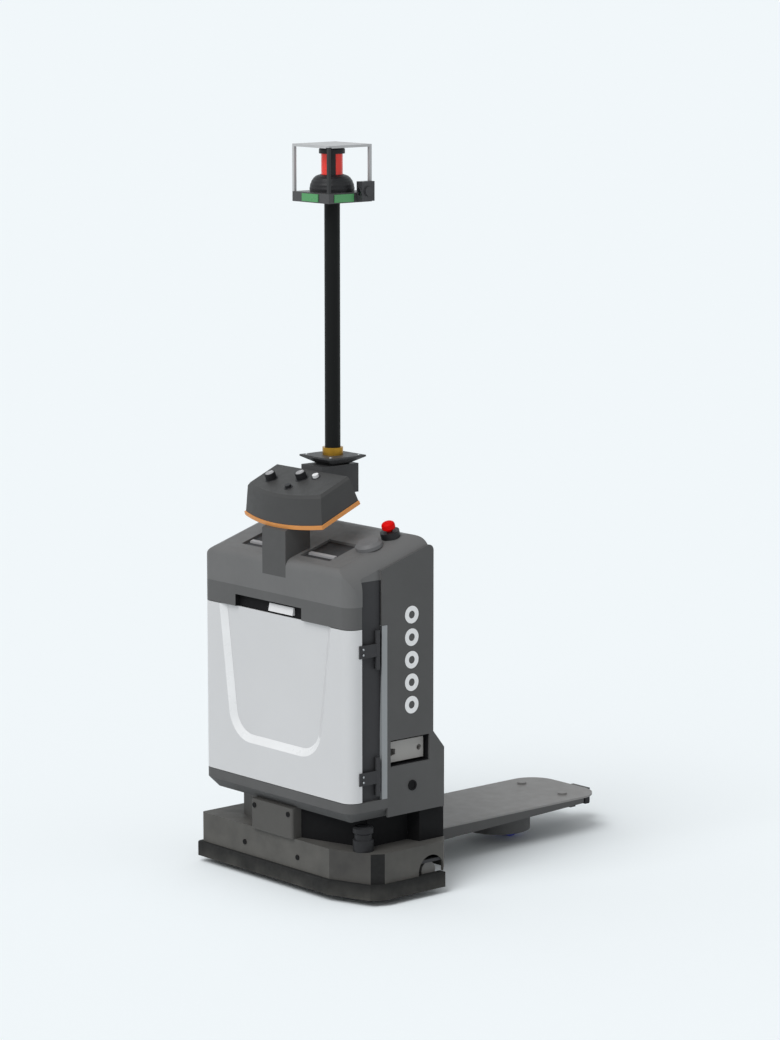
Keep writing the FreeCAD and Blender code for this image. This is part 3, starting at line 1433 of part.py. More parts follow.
def scanner():
    neck = "window_radius + scanner_neck_wall"
    turned("ScannerFoot", "scanner_foot", [
        ("0", "0"), ("scanner_foot_radius", "0"), ("scanner_foot_radius", "scanner_foot_rim"),
        (neck, "scanner_foot_height - scanner_neck_height"), (neck, "scanner_foot_height"),
        ("0", "scanner_foot_height")], z="cage_floor_top")
    turned("ScannerWindow", "scanner_window", [
        ("window_radius - window_wall", "0"), ("window_radius", "0"), ("window_radius", "window_height"),
        ("window_radius - window_wall", "window_height")], z="window_bottom")
    turned("ScannerRotor", "scanner_rotor", [
        ("0", "0"), ("rotor_stem_radius", "0"), ("rotor_stem_radius", "rotor_stem_height"),
        ("rotor_radius", "rotor_stem_height + rotor_slope"), ("rotor_radius", "rotor_height"),
        ("0", "rotor_height")], z="window_bottom + fit_gap")
    turned("ScannerCap", "scanner_cap", [
        ("0", "0"), ("scanner_cap_radius", "0"), ("scanner_cap_radius",
                                                  "scanner_cap_height - scanner_cap_edge"),
        ("scanner_cap_radius - scanner_cap_edge", "scanner_cap_height"), ("0", "scanner_cap_height")],
        z="window_top")


def camera_module():
    y_low = "mast_y + camera_shift - camera_width / 2"
    case = box("CameraCase", ("cage_half", "cage_half + camera_depth"), (y_low, y_low + " + camera_width"),
               ("camera_bottom", "camera_bottom + camera_height"))
    lens = rod("CameraLens", "X", "lens_radius", "cage_half + camera_depth",
               "cage_half + camera_depth + lens_length",
               ("mast_y + camera_shift", "camera_bottom + camera_height / 2"))
    return node(group("CameraModule", [case, lens]), "camera_module")


# ---- deck ------------------------------------------------------------------------------------------

def deck_plate():
    """Load plate with rounded tip corners and two welded studs that locate the load."""
    body = new_body("DeckPlate")
    plan = polygon(sketch_on(body, "DeckPlan", "XY_Plane", "deck_under"), [
        ("-deck_half", "base_rear_y"), ("deck_half", "base_rear_y"),
        ("deck_half", "deck_tip_y"), ("-deck_half", "deck_tip_y")])
    plate = pad(body, "DeckPad", plan, "deck_plate_thickness")
    tip = size("deck_tip_y")
    fillet(body, "DeckTipCorners", plate,
           lambda edge: along(edge, "Z") and near(edge.CenterOfMass.y, tip), "deck_corner_radius")
    studs = sketch_on(body, "StudPlan", "XY_Plane", "deck_top")
    for side, word in SIDES:
        circle(studs, signed(side, "stud_spacing / 2"), "stud_y", "stud_radius")
    pad(body, "Studs", studs, "stud_height")
    return node(body, "deck_plate")


def deck_rails():
    """Side rails under the deck plate, shallower towards the tip."""
    pieces = []
    outline = [("base_rear_y", "deck_root_bottom"), ("deck_tip_y - deck_corner_radius", "deck_tip_bottom"),
               ("deck_tip_y - deck_corner_radius", "deck_under"), ("base_rear_y", "deck_under")]
    for side, word in SIDES:
        body = new_body("DeckRail" + word)
        start = span(side, "deck_half - deck_rail_width", "deck_half")[0]
        view = polygon(sketch_on(body, "RailView" + word, "YZ_Plane", start), outline)
        pad(body, "RailPad" + word, view, "deck_rail_width")
        pieces.append(body)
    return node(group("DeckRails", pieces), "deck_rails")


def caster_fairing():
    centre = ("0", "caster_y")
    shell = rod("FairingBlank", "Z", "fairing_radius", "fairing_bottom", "deck_under", centre)
    bore = rod("FairingBore", "Z", "fairing_radius - fairing_wall", "fairing_bottom", "deck_under", centre)
    return node(cut("CasterFairing", shell, [bore]), "caster_fairing")


def caster():
    """Swivel caster: fixed plate with its kingpin, fork with its axle, and a wheel that trails the pin."""
    centre = ("0", "caster_y")
    mount = rod("PlateDisc", "Z", "caster_plate_radius", "caster_plate_bottom", "deck_under", centre)
    kingpin = rod("Kingpin", "Z", "kingpin_radius", "fork_under", "caster_plate_bottom", centre)
    node(fuse("CasterPlate", [mount, kingpin]), "caster_plate")
    across = ("caster_wheel_y", "caster_radius")
    pieces = [rod("ForkPlate", "Z", "fork_plate_radius", "fork_under", "fork_top", centre)]
    outline = [("caster_y - fork_arm_front", "fork_under"), ("caster_wheel_y - fork_eye",
                                                             "caster_radius - fork_eye"),
               ("caster_wheel_y + fork_eye", "caster_radius - fork_eye"),
               ("caster_wheel_y + fork_eye", "caster_radius + fork_eye"),
               ("caster_y + fork_arm_rear", "fork_under")]
    for side, word in SIDES:
        body = new_body("ForkArm" + word)
        view = sketch_on(body, "ForkView" + word, "YZ_Plane", span(side, "fork_inner", "fork_outer")[0])
        pad(body, "ForkArmPad" + word, polygon(view, outline), "fork_arm")
        pieces.append(body)
    bores = [rod("ForkBore", "X", "caster_axle_radius", "-fork_outer", "fork_outer", across),
             rod("KingpinBore", "Z", "kingpin_radius + kingpin_fit", "fork_under", "fork_top", centre)]
    axle = rod("CasterAxle", "X", "caster_axle_radius", "-fork_outer", "fork_outer", across)
    node(group("CasterFork", [cut("ForkCut", fuse("ForkSolid", pieces), bores), axle]), "caster_fork")
    wheel("CasterWheel", "caster_wheel", ("-caster_width / 2", "caster_width / 2"), across, "caster_radius",
          "caster_hub_radius", "caster_axle_radius")


def tip_fittings():
    """Sensor held between a bracket under the deck's tip and a bumper block behind it."""
    bracket = box("TipBracket", ("-tip_bracket_width / 2", "tip_bracket_width / 2"),
                  ("deck_tip_y - tip_bracket_depth", "deck_tip_y"),
                  ("tip_sensor_height - tip_sensor_radius", "deck_under"))
    sensor_end = "deck_tip_y + tip_sensor_length"
    node(rod("TipSensor", "Y", "tip_sensor_radius", "deck_tip_y", sensor_end, ("0", "tip_sensor_height")),
         "tip_sensor")
    body = new_body("TipBumper")
    plan = polygon(sketch_on(body, "TipPlan", "XY_Plane", "tip_sensor_height - tip_bumper_height / 2"), [
        ("-tip_bumper_width / 2", sensor_end), ("tip_bumper_width / 2", sensor_end),
        ("tip_bumper_width / 2", "tip_end_y"), ("-tip_bumper_width / 2", "tip_end_y")])
    block = pad(body, "TipPad", plan, "tip_bumper_height")
    end = size("tip_end_y")
    fillet(body, "TipRound", block, lambda edge: near(edge.BoundBox.YMin, end), "tip_bumper_length / 2")
    node(group("TipMounting", [bracket, body]), "tip_mounting")


def base_screws():
    """Screw heads on the skirt's front and on the neck's front."""
    heads = []
    for word, across, offset, height, front in (
            ("BaseLeft", -1, "base_front_flat / 2 - outer_screw_margin", "base_screw_height",
             "base_front_y"),
            ("BaseMiddle", 1, "neck_front_right + inner_screw_margin", "base_screw_height", "base_front_y"),
            ("NeckLeft", -1, "neck_front_left - neck_screw_margin", "neck_screw_height", "neck_y"),
            ("NeckRight", 1, "neck_front_right - neck_screw_margin", "neck_screw_height", "neck_y")):
        heads.append(rod("Screw" + word, "Y", "screw_radius", front + " - screw_head", front,
                         (signed(across, offset), height)))
    return node(group("BaseScrews", heads), "base_screws")


def safety_scanner():
    """Round safety scanner on the base, in the slot at the right front corner."""
    waist = "guard_radius - guard_waist"
    return turned("SafetyScanner", "safety_scanner", [
        ("0", "0"), ("guard_radius", "0"), ("guard_radius", "guard_waist_low"),
        (waist, "guard_waist_low + guard_slope"), (waist, "guard_waist_high - guard_slope"),
        ("guard_radius", "guard_waist_high"), ("guard_radius", "guard_height - guard_rim"),
        ("guard_radius - guard_rim", "guard_height"), ("0", "guard_height")],
        x="base_half - guard_inset", y="front_y + guard_setback", z="base_top")


# ---- assembly --------------------------------------------------------------------------------------

def build():
    base_skirt()
    bumper_strip()
    chassis_frame()
    neck_tower()
    base_screws()
    safety_scanner()
    steer_ring()
    drive_yoke()
    drive_wheel()
    drive_motor()
    side_axles()
    floor_tray()
    body_frame()
    door_jambs()
    rear_cover()
    equipment()
    front_door()
    door_hinges()
    door_header()
    door_latch()
    top_cap()
    tray_bars()
    emergency_stop()
    sounder()
    charging_port()
    key_switch()
    side_marks()
    console_stem()
    console_head()
    console_controls()
    mast_bracket()
    mast()
    cage()
    status_lights()
    scanner()
    camera_module()
    deck_plate()
    deck_rails()
    caster_fairing()
    caster()
    tip_fittings()
    for side, word in SIDES:
        side_wheel(side, word)
        side_panel(side, word)


def check():
    """Stops on any failed object or empty shape."""
    bad = [item.Label for item in doc.Objects if "Invalid" in item.State or "Error" in item.State]
    bad += [item.Label for item in nodes if item.Shape.isNull() or not item.Shape.isValid()]
    if bad:
        raise RuntimeError("failed objects: " + ", ".join(bad))


def export():
    os.makedirs("parts", exist_ok=True)
    for item in nodes:
        item.Shape.exportStep(os.path.join("parts", item.Label + ".step"))
        print("%-22s %2d solids %12.1f mm3" % (item.Label, len(item.Shape.Solids), item.Shape.Volume))
    print(len(nodes), "sub-parts")


build()
doc.recompute()
check()
export()
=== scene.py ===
import json
import math

import bmesh
import bpy
from mathutils import Matrix, Vector

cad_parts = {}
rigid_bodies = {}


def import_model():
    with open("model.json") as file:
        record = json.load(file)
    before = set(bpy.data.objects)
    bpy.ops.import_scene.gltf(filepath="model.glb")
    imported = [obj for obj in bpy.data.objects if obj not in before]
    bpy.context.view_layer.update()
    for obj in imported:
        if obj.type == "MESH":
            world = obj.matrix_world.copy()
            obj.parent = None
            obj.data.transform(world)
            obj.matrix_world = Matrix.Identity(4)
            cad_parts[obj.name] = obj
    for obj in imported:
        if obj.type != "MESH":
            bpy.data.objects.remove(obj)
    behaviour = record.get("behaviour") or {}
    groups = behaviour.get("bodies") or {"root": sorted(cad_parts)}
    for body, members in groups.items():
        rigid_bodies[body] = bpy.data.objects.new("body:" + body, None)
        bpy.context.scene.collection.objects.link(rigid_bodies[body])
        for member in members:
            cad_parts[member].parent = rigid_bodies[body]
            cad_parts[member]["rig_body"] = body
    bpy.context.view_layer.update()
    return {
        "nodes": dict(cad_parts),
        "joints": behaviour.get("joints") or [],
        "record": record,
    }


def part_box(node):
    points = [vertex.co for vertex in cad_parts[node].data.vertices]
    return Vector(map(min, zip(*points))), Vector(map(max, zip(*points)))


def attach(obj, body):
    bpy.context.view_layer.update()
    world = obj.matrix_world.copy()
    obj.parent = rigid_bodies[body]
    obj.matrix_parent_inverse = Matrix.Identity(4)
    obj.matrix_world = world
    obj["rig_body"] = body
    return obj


# The finishes, small fittings and plain studio of a driverless tug robot, built round its solids.
# Metres. +Z is up, the front is -Y, and the origin is on the floor at the middle of the robot's box.

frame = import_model()
scene = bpy.context.scene
scene.view_settings.view_transform = "Standard"

UP = (0, 0, 1)
FRONT = (0, -1, 0)
REAR = (0, 1, 0)
RIGHT = (1, 0, 0)


def linear(colour):
    """An 8-bit display colour as linear light, by the sRGB curve."""
    parts = [value / 255 for value in colour]
    return [c / 12.92 if c <= 0.04045 else ((c + 0.055) / 1.055) ** 2.4 for c in parts] + [1.0]


# ---- camera and studio -----------------------------------------------------------------------------

CAMERA_PLACE = Vector((8.5409, -7.6400, 2.9726))
CAMERA_TARGET = Vector((0.1163, -0.2946, 1.1284))
CAMERA_LENS = 126.5
CAMERA_REACH = 500

BACKDROP_COLOUR = (241, 247, 250)
WORLD_LEVEL = 0.52

# Each lamp's direction, strength and apparent width in degrees.
KEY_LAMP = ((-0.15, 0.65, -0.74), 2.0, 40)
FILL_LAMP = ((0.8, 0.4, -0.45), 0.12, 60)

FLOOR_SIZE = 300
FLOOR_COLOUR = (240, 246, 249)
FLOOR_ROUGH = 0.9


def make_camera():
    data = bpy.data.cameras.new("camera")
    data.lens = CAMERA_LENS
    data.clip_end = CAMERA_REACH
    camera = bpy.data.objects.new("camera", data)
    camera.location = CAMERA_PLACE
    camera.rotation_euler = (CAMERA_TARGET - CAMERA_PLACE).to_track_quat("-Z", "Y").to_euler()
    scene.collection.objects.link(camera)
    scene.camera = camera


def make_world():
    """Even soft light, with the pale backdrop for what the camera, gloss and glass see."""
    world = bpy.data.worlds.new("studio")
    scene.world = world
    world.use_nodes = True
    nodes, links = world.node_tree.nodes, world.node_tree.links
    nodes.clear()
    light = nodes.new("ShaderNodeBackground")
    light.inputs["Color"].default_value = (1, 1, 1, 1)
    light.inputs["Strength"].default_value = WORLD_LEVEL
    backdrop = nodes.new("ShaderNodeBackground")
    backdrop.inputs["Color"].default_value = linear(BACKDROP_COLOUR)
    path = nodes.new("ShaderNodeLightPath")
    seen = path.outputs["Is Camera Ray"]
    for name in ("Is Glossy Ray", "Is Transmission Ray"):
        either = nodes.new("ShaderNodeMath")
        either.operation = "MAXIMUM"
        links.new(seen, either.inputs[0])
        links.new(path.outputs[name], either.inputs[1])
        seen = either.outputs[0]
    mix = nodes.new("ShaderNodeMixShader")
    output = nodes.new("ShaderNodeOutputWorld")
    links.new(seen, mix.inputs[0])
    links.new(light.outputs[0], mix.inputs[1])
    links.new(backdrop.outputs[0], mix.inputs[2])
    links.new(mix.outputs[0], output.inputs[0])


def make_lamp(name, direction, strength, width):
    """A soft lamp that shines along a direction."""
    data = bpy.data.lights.new(name, "SUN")
    data.energy = strength
    data.angle = math.radians(width)
    lamp = bpy.data.objects.new(name, data)
    lamp.rotation_euler = Vector(direction).to_track_quat("-Z", "Y").to_euler()
    scene.collection.objects.link(lamp)


def make_floor():
    bpy.ops.mesh.primitive_plane_add(size=FLOOR_SIZE)
    floor = bpy.context.object
    floor.name = "floor"
    material = bpy.data.materials.new("floor")
    material.use_nodes = True
    shader = material.node_tree.nodes["Principled BSDF"]
    shader.inputs["Base Color"].default_value = linear(FLOOR_COLOUR)
    shader.inputs["Roughness"].default_value = FLOOR_ROUGH
    shader.inputs["Specular IOR Level"].default_value = 0.0
    floor.data.materials.append(material)


# ---- materials -------------------------------------------------------------------------------------

# The part of its 0 to 1 range that a noise mostly stays in.
NOISE_RANGE = (0.3, 0.7)


class Finish:
    """Builds one procedural material on a Principled shader, from object coordinates in metres."""

    def __init__(self, name, colour, rough, metallic=0.0, specular=0.5):
        self.material = bpy.data.materials.new(name)
        self.material.use_nodes = True
        self.tree = self.material.node_tree
        self.shader = self.tree.nodes["Principled BSDF"]
        self.shader.inputs["Metallic"].default_value = metallic
        self.shader.inputs["Specular IOR Level"].default_value = specular
        self.coords = self.node("ShaderNodeTexCoord").outputs["Object"]
        self.colour = linear(colour)
        self.rough = rough
        self.tint = None
        self.relief = None

    def node(self, kind):
        return self.tree.nodes.new(kind)

    def link(self, start, end):
        self.tree.links.new(start, end)

    def along(self, axis):
        """The object coordinate on one axis."""
        split = self.node("ShaderNodeSeparateXYZ")
        self.link(self.coords, split.inputs["Vector"])
        return split.outputs[axis]

    def noise(self, scale, detail, stretch=(1, 1, 1)):
        mapping = self.node("ShaderNodeMapping")
        mapping.inputs["Scale"].default_value = stretch
        self.link(self.coords, mapping.inputs["Vector"])
        texture = self.node("ShaderNodeTexNoise")
        texture.inputs["Scale"].default_value = scale
        texture.inputs["Detail"].default_value = detail
        self.link(mapping.outputs["Vector"], texture.inputs["Vector"])
        return texture.outputs["Fac"]

    def remap(self, value, source, target):
        """Maps a value from one range onto another."""
        item = self.node("ShaderNodeMapRange")
        for name, end in zip(("From Min", "From Max", "To Min", "To Max"), (*source, *target)):
            item.inputs[name].default_value = end
        self.link(value, item.inputs["Value"])
        return item.outputs["Result"]

    def product(self, first, second):
        item = self.node("ShaderNodeMath")
        item.operation = "MULTIPLY"
        self.link(first, item.inputs[0])
        self.link(second, item.inputs[1])
        return item.outputs["Value"]

    def colour_mix(self, share):
        """A mix of two colours, which becomes the finish's colour."""
        item = self.node("ShaderNodeMix")
        item.data_type = "RGBA"
        self.link(share, item.inputs["Factor"])
        self.tint = item.outputs["Result"]
        self.link(self.tint, self.shader.inputs["Base Color"])
        return item

    def mottle(self, value, amount):
        """Colour that varies about its own value by an amount."""
        item = self.colour_mix(self.remap(value, NOISE_RANGE, (0.0, 1.0)))
        item.inputs["A"].default_value = [c * (1 - amount) for c in self.colour[:3]] + [1]
        item.inputs["B"].default_value = [c * (1 + amount) for c in self.colour[:3]] + [1]

    def paint_over(self, share, colour):
        """Covers a share of the finish's colour with another one."""
        under = self.tint
        item = self.colour_mix(share)
        self.link(under, item.inputs["A"])
        item.inputs["B"].default_value = linear(colour)
        return self

    def vary_rough(self, value, amount):
        ends = (self.rough - amount, self.rough + amount)
        self.link(self.remap(value, NOISE_RANGE, ends), self.shader.inputs["Roughness"])

    def bump(self, value, depth):
        """Relief of a depth, on top of any relief that the finish already has."""
        item = self.node("ShaderNodeBump")
        item.inputs["Strength"].default_value = 1.0
        item.inputs["Distance"].default_value = depth
        self.link(value, item.inputs["Height"])
        if self.relief is not None:
            self.link(self.relief, item.inputs["Normal"])
        self.relief = item.outputs["Normal"]
        self.link(self.relief, self.shader.inputs["Normal"])

    def dust(self, top, amount):
        """Cloudy floor dust that fades out towards a height."""
        fade = self.remap(self.along("Z"), (0.0, top), (amount, 0.0))
        cloud = self.remap(self.noise(scale=14, detail=5), NOISE_RANGE, (0.1, 1.0))
        return self.paint_over(self.product(fade, cloud), DUST_COLOUR)

    def zone(self, limits, colour):
        """A second colour between limits on the object's axes: {"Z": (low, high)} in metres."""
        inside = None
        for axis, ends in limits.items():
            for operation, end in zip(("GREATER_THAN", "LESS_THAN"), ends):
                test = self.node("ShaderNodeMath")
                test.operation = operation
                self.link(self.along(axis), test.inputs[0])
                test.inputs[1].default_value = end
                result = test.outputs["Value"]
                inside = result if inside is None else self.product(inside, result)
        return self.paint_over(inside, colour)


def powder_coat(name, colour, rough, specular):
    """Fine-textured powder coat with slight orange peel and handling marks."""
    finish = Finish(name, colour, rough, specular=specular)
    finish.mottle(finish.noise(scale=5, detail=4), amount=0.05)
    finish.vary_rough(finish.noise(scale=24, detail=3), amount=0.06)
    finish.bump(finish.noise(scale=420, detail=3), depth=0.00025)
    finish.bump(finish.noise(scale=60, detail=2), depth=0.00008)
    return finish


def moulding(name, colour, rough, specular):
    """Moulded plastic with a spark-eroded grain."""
    finish = Finish(name, colour, rough, specular=specular)
    finish.mottle(finish.noise(scale=8, detail=3), amount=0.035)
    finish.vary_rough(finish.noise(scale=40, detail=4), amount=0.05)
    finish.bump(finish.noise(scale=900, detail=2), depth=0.00012)
    return finish


def metal(name, colour, rough, specular):
    """Machined metal with fine lines drawn along its height."""
    finish = Finish(name, colour, rough, metallic=1.0, specular=specular)
    lines = finish.noise(scale=500, detail=3, stretch=(1, 1, 0.05))
    finish.mottle(lines, amount=0.06)
    finish.vary_rough(finish.noise(scale=30, detail=3), amount=0.08)
    finish.bump(lines, depth=0.00005)
    return finish


def rubber(name, colour, rough, specular):
    """Dull rubber with an uneven, slightly rough skin."""
    finish = Finish(name, colour, rough, specular=specular)
    finish.mottle(finish.noise(scale=30, detail=4), amount=0.15)
    finish.vary_rough(finish.noise(scale=80, detail=3), amount=0.08)
    finish.bump(finish.noise(scale=350, detail=3), depth=0.0003)
    return finish


def metallic_paint(name, colour, rough, specular):
    """Smooth silver paint with a faint metallic sheen."""
    finish = Finish(name, colour, rough, metallic=0.3, specular=specular)
    finish.mottle(finish.noise(scale=3, detail=3), amount=0.015)
    finish.vary_rough(finish.noise(scale=18, detail=3), amount=0.04)
    finish.bump(finish.noise(scale=1400, detail=2), depth=0.00004)
    return finish


# Each finish's colour, roughness and specular level, by how it is made.
RECIPES = {
    metallic_paint: {
        "silver_paint": ((196, 196, 197), 0.36, 0.5),
    },
    powder_coat: {
        "graphite_paint": ((80, 80, 80), 0.6, 0.2),
        "base_paint": ((73, 72, 70), 0.6, 0.18),
        # A darker copy of the base paint: painted shade on the base's shallow corner facet.
        "facet_painted_shade": ((58, 57, 56), 0.6, 0.18),
        # Dark grey: the own paint of the chassis frame and hinges, and painted shade in the cap's trays.
        "dark_channel": ((54, 54, 56), 0.6, 0.2),
        "strip_paint": ((140, 143, 145), 0.45, 0.35),
        "apron_paint": ((82, 82, 82), 0.6, 0.2),
        "cast_paint": ((76, 75, 73), 0.6, 0.18),
        "stem_paint": ((74, 74, 74), 0.55, 0.2),
        "deck_paint": ((130, 129, 128), 0.55, 0.3),
        "bracket_paint": ((60, 60, 61), 0.5, 0.25),
        "mast_paint": ((17, 18, 18), 0.5, 0.12),
        "cage_metal": ((170, 171, 172), 0.4, 0.4),
    },
    moulding: {
        "cap_plastic": ((97, 97, 97), 0.5, 0.25),
        "header_plastic": ((82, 82, 82), 0.5, 0.25),
        "console_plastic": ((62, 62, 62), 0.5, 0.2),
        "sounder_plastic": ((100, 100, 101), 0.5, 0.25),
        "camera_plastic": ((50, 50, 52), 0.4, 0.4),
        "orange_plastic": ((206, 138, 72), 0.5, 0.4),
        "black_plastic": ((30, 30, 32), 0.45, 0.25),
        "white_plastic": ((222, 223, 224), 0.35, 0.5),
        "grey_plastic": ((150, 150, 152), 0.5, 0.4),
        "red_plastic": ((205, 4, 2), 0.55, 0.1),
        "green_plastic": ((70, 140, 84), 0.3, 0.5),
        "red_window": ((238, 62, 52), 0.25, 0.3),
        "black_glass": ((12, 13, 16), 0.06, 0.6),
        # A lighter copy of the silver paint: a painted highlight on the door relief's bevels.
        "relief_painted_highlight": ((212, 213, 214), 0.3, 0.5),
        "latch_metal": ((205, 205, 206), 0.35, 0.5),
        "axle_metal": ((104, 103, 101), 0.5, 0.4),
        "contact_metal": ((150, 148, 145), 0.4, 0.4),
        # Near black: the own colour of the key switch and base screws, and painted shade in the latch
        # recess and beside the neck.
        "black_and_painted_shade": ((20, 20, 21), 0.7, 0.1),
    },
    metal: {
        "gold_metal": ((164, 124, 46), 0.35, 0.5),
        "steel": ((170, 172, 174), 0.35, 0.5),
    },
    rubber: {
        "black_rubber": ((26, 26, 26), 0.75, 0.2),
        "blue_wheel": ((88, 98, 186), 0.5, 0.2),
        "black_wheel": ((36, 36, 37), 0.75, 0.2),
    },
}

# How high the dust reaches on the dusty finishes, and how much of the colour it covers at the floor.
DUST_COLOUR = (120, 118, 112)
DUSTY = {
    "base_paint": (0.30, 0.35),
    "facet_painted_shade": (0.30, 0.25),
    "black_rubber": (0.07, 0.35),
    "black_wheel": (0.12, 0.4),
}

# The cage's dark bottom frame and the black of its front right post, which is painted shade, and how far a
# zone reaches past the faces.
CAGE_FRAME = 0.0302
CAGE_FRAME_COLOUR = (62, 62, 63)
CAGE_POST = 0.012
CAGE_POST_SHADE = (30, 30, 31)
CAGE_LID = 0.005
PAST_FACE = 0.01


def paint_cage(finish):
    """Darkens the bottom frame of the silver cage, and paints shade on its front right post in black."""
    low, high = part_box("scanner_cage")
    frame_top = low.z + CAGE_FRAME
    finish.zone({"Z": (low.z - PAST_FACE, frame_top)}, CAGE_FRAME_COLOUR)
    finish.zone({"X": (high.x - CAGE_POST, high.x + PAST_FACE),
                 "Y": (low.y - PAST_FACE, low.y + CAGE_POST),
                 "Z": (frame_top, high.z - CAGE_LID)}, CAGE_POST_SHADE)


def make_finishes():
    finishes = {}
    for recipe, rows in RECIPES.items():
        for name, (colour, rough, specular) in rows.items():
            finishes[name] = recipe(name, colour, rough, specular)
    for name, (top, amount) in DUSTY.items():
        finishes[name].dust(top, amount)
    paint_cage(finishes["cage_metal"])
    return {name: finish.material for name, finish in finishes.items()}


FINISHES = make_finishes()


# ---- finishes of the robot's solids ----------------------------------------------------------------

# The nodes whose finish isn't the one of their material slot.
NODE_FINISHES = {
    "floor_tray": "apron_paint",
    "key_switch": "black_and_painted_shade",
    "chassis_frame": "dark_channel",
    "door_header": "header_plastic",
    "sounder_dome": "sounder_plastic",
    "deck_plate": "deck_paint",
    "hinge_leaves": "dark_channel",
    "hinge_barrels": "dark_channel",
    "knob_left": "black_plastic",
    "knob_right": "black_plastic",
    "mast_bracket": "bracket_paint",
    "base_screws": "black_and_painted_shade",
    "scanner_cage": "cage_metal",
    "door_latch": "latch_metal",
    "camera_module": "camera_plastic",
    "side_axles": "axle_metal",
    "contact_block": "contact_metal",
    "console_stem": "stem_paint",
    "tip_mounting": "black_plastic",
}

DOOR_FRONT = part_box("front_door")[0].y

# A normal's least share of a direction for its face to face that way, and to lean that way.
FACES = 0.5
LEANS = 0.15

# Half widths, depths behind the door's front and heights that bound the second finishes.
STRIP_EDGE = 0.3475
RELIEF_DEPTH = 0.0008
LATCH_RECESS_HALF = 0.195
LATCH_RECESS_DEPTH = (0.0005, 0.019)
LATCH_RECESS_TOP = 0.9
NECK_SIDE = 0.072
TRAY_HALF = 0.26
TRAY_SETBACK = 0.03
TRAY_BELOW = 0.006

# The cap's slope: its height at the door's front, and its rise for each metre to the rear.
CAP_SHOULDER = 1.036
CAP_RISE = 0.3057


def dress_nodes():
    """Gives every solid its own finish or that of its material slot."""
    for row in frame["record"]["subparts"]:
        name = row["node"]
        item = frame["nodes"][name]
        item.data.materials.clear()
        item.data.materials.append(FINISHES[NODE_FINISHES.get(name, row["material_slot"])])


def faces_where(name, test, finish):
    """Gives a second finish to the faces of a node whose middle and normal pass a test."""
    item = frame["nodes"][name]
    item.data.materials.append(FINISHES[finish])
    index = len(item.data.materials) - 1
    for face in item.data.polygons:
        if test(face.center, face.normal):
            face.material_index = index


def on_jamb_strip(middle, normal):
    """The pale edge strips at both sides of the door opening."""
    return abs(middle.x) > STRIP_EDGE


def on_relief_bottom_highlight(middle, normal):
    """The door relief's lower bevel, whose faces lean upwards, which gets a painted highlight."""
    return normal.y < -FACES and normal.z > LEANS


def on_relief_left_highlight(middle, normal):
    """The door relief's left bevel, behind the door's front, which gets a painted highlight."""
    sunk = middle.y > DOOR_FRONT + RELIEF_DEPTH
    return sunk and normal.y < -FACES and normal.x > LEANS and middle.x < 0


def in_latch_recess_shade(middle, normal):
    """The walls of the recess round the latch, painted near black as painted shade."""
    near, far = (DOOR_FRONT + depth for depth in LATCH_RECESS_DEPTH)
    return abs(middle.x) < LATCH_RECESS_HALF and near < middle.y < far and middle.z < LATCH_RECESS_TOP


def in_neck_side_shade(middle, normal):
    """The upright faces right of the neck's front block, apart from those that face the rear, painted near
    black as painted shade.
    """
    return middle.x > NECK_SIDE and abs(normal.z) < FACES and normal.y < FACES


def on_shaded_facet(middle, normal):
    """The shallow facet at the base's front right corner, which gets a darker copy of the base paint as
    painted shade.
    """
    return 0.1 < normal.x < 0.5 and normal.y < -0.8


def on_second_facet(middle, normal):
    """The steep facet at the base's front right corner."""
    return normal.x > 0.8 and -0.6 < normal.y < -0.4


def in_cap_tray_shade(middle, normal):
    """The trays sunk into the cap's slope, painted dark as painted shade."""
    floor = CAP_SHOULDER + (middle.y - DOOR_FRONT) * CAP_RISE - TRAY_BELOW
    return abs(middle.x) < TRAY_HALF and middle.z < floor and middle.y > DOOR_FRONT + TRAY_SETBACK


def add_second_finishes():
    faces_where("door_jambs", on_jamb_strip, "strip_paint")
    # The door relief's bevels get a painted highlight.
    faces_where("front_door", on_relief_bottom_highlight, "relief_painted_highlight")
    faces_where("front_door", on_relief_left_highlight, "relief_painted_highlight")
    # Painted shade in the recess round the latch.
    faces_where("door_header", in_latch_recess_shade, "black_and_painted_shade")
    # Painted shade on the faces right of the neck's front block.
    faces_where("neck_tower", in_neck_side_shade, "black_and_painted_shade")
    # Painted shade on the base's shallow corner facet.
    faces_where("base_skirt", on_shaded_facet, "facet_painted_shade")
    faces_where("base_skirt", on_second_facet, "black_rubber")
    # Painted shade in the trays sunk into the cap.
    faces_where("top_cap", in_cap_tray_shade, "dark_channel")


# ---- shapes and places -----------------------------------------------------------------------------

def new_piece(name, mesh, body, finish):
    piece = bpy.data.objects.new(name, mesh)
    scene.collection.objects.link(piece)
    piece.data.materials.append(FINISHES[finish])
    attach(piece, body)


def finished_mesh(name, shape):
    """The mesh of a modelled shape, with its normals outward."""
    bmesh.ops.recalc_face_normals(shape, faces=shape.faces)
    mesh = bpy.data.meshes.new(name)
    shape.to_mesh(mesh)
    shape.free()
    return mesh


def turned_mesh(name, profile, segments=32):
    """Solid of revolution about +Z from (radius, height) pairs: from axis to axis, or a ring's outline."""
    shape = bmesh.new()
    rings = []
    for radius, height in profile:
        if radius == 0:
            rings.append([shape.verts.new((0, 0, height))])
            continue
        turns = [2 * math.pi * i / segments for i in range(segments)]
        rings.append([shape.verts.new((radius * math.cos(t), radius * math.sin(t), height)) for t in turns])
    if profile[0][0] != 0:
        rings.append(rings[0])
    for low, high in zip(rings, rings[1:]):
        for i in range(segments):
            j = (i + 1) % segments
            corners = [low[i % len(low)], low[j % len(low)], high[j % len(high)], high[i % len(high)]]
            corners = [v for k, v in enumerate(corners) if v not in corners[:k]]
            if len(corners) > 2:
                shape.faces.new(corners)
    return finished_mesh(name, shape)


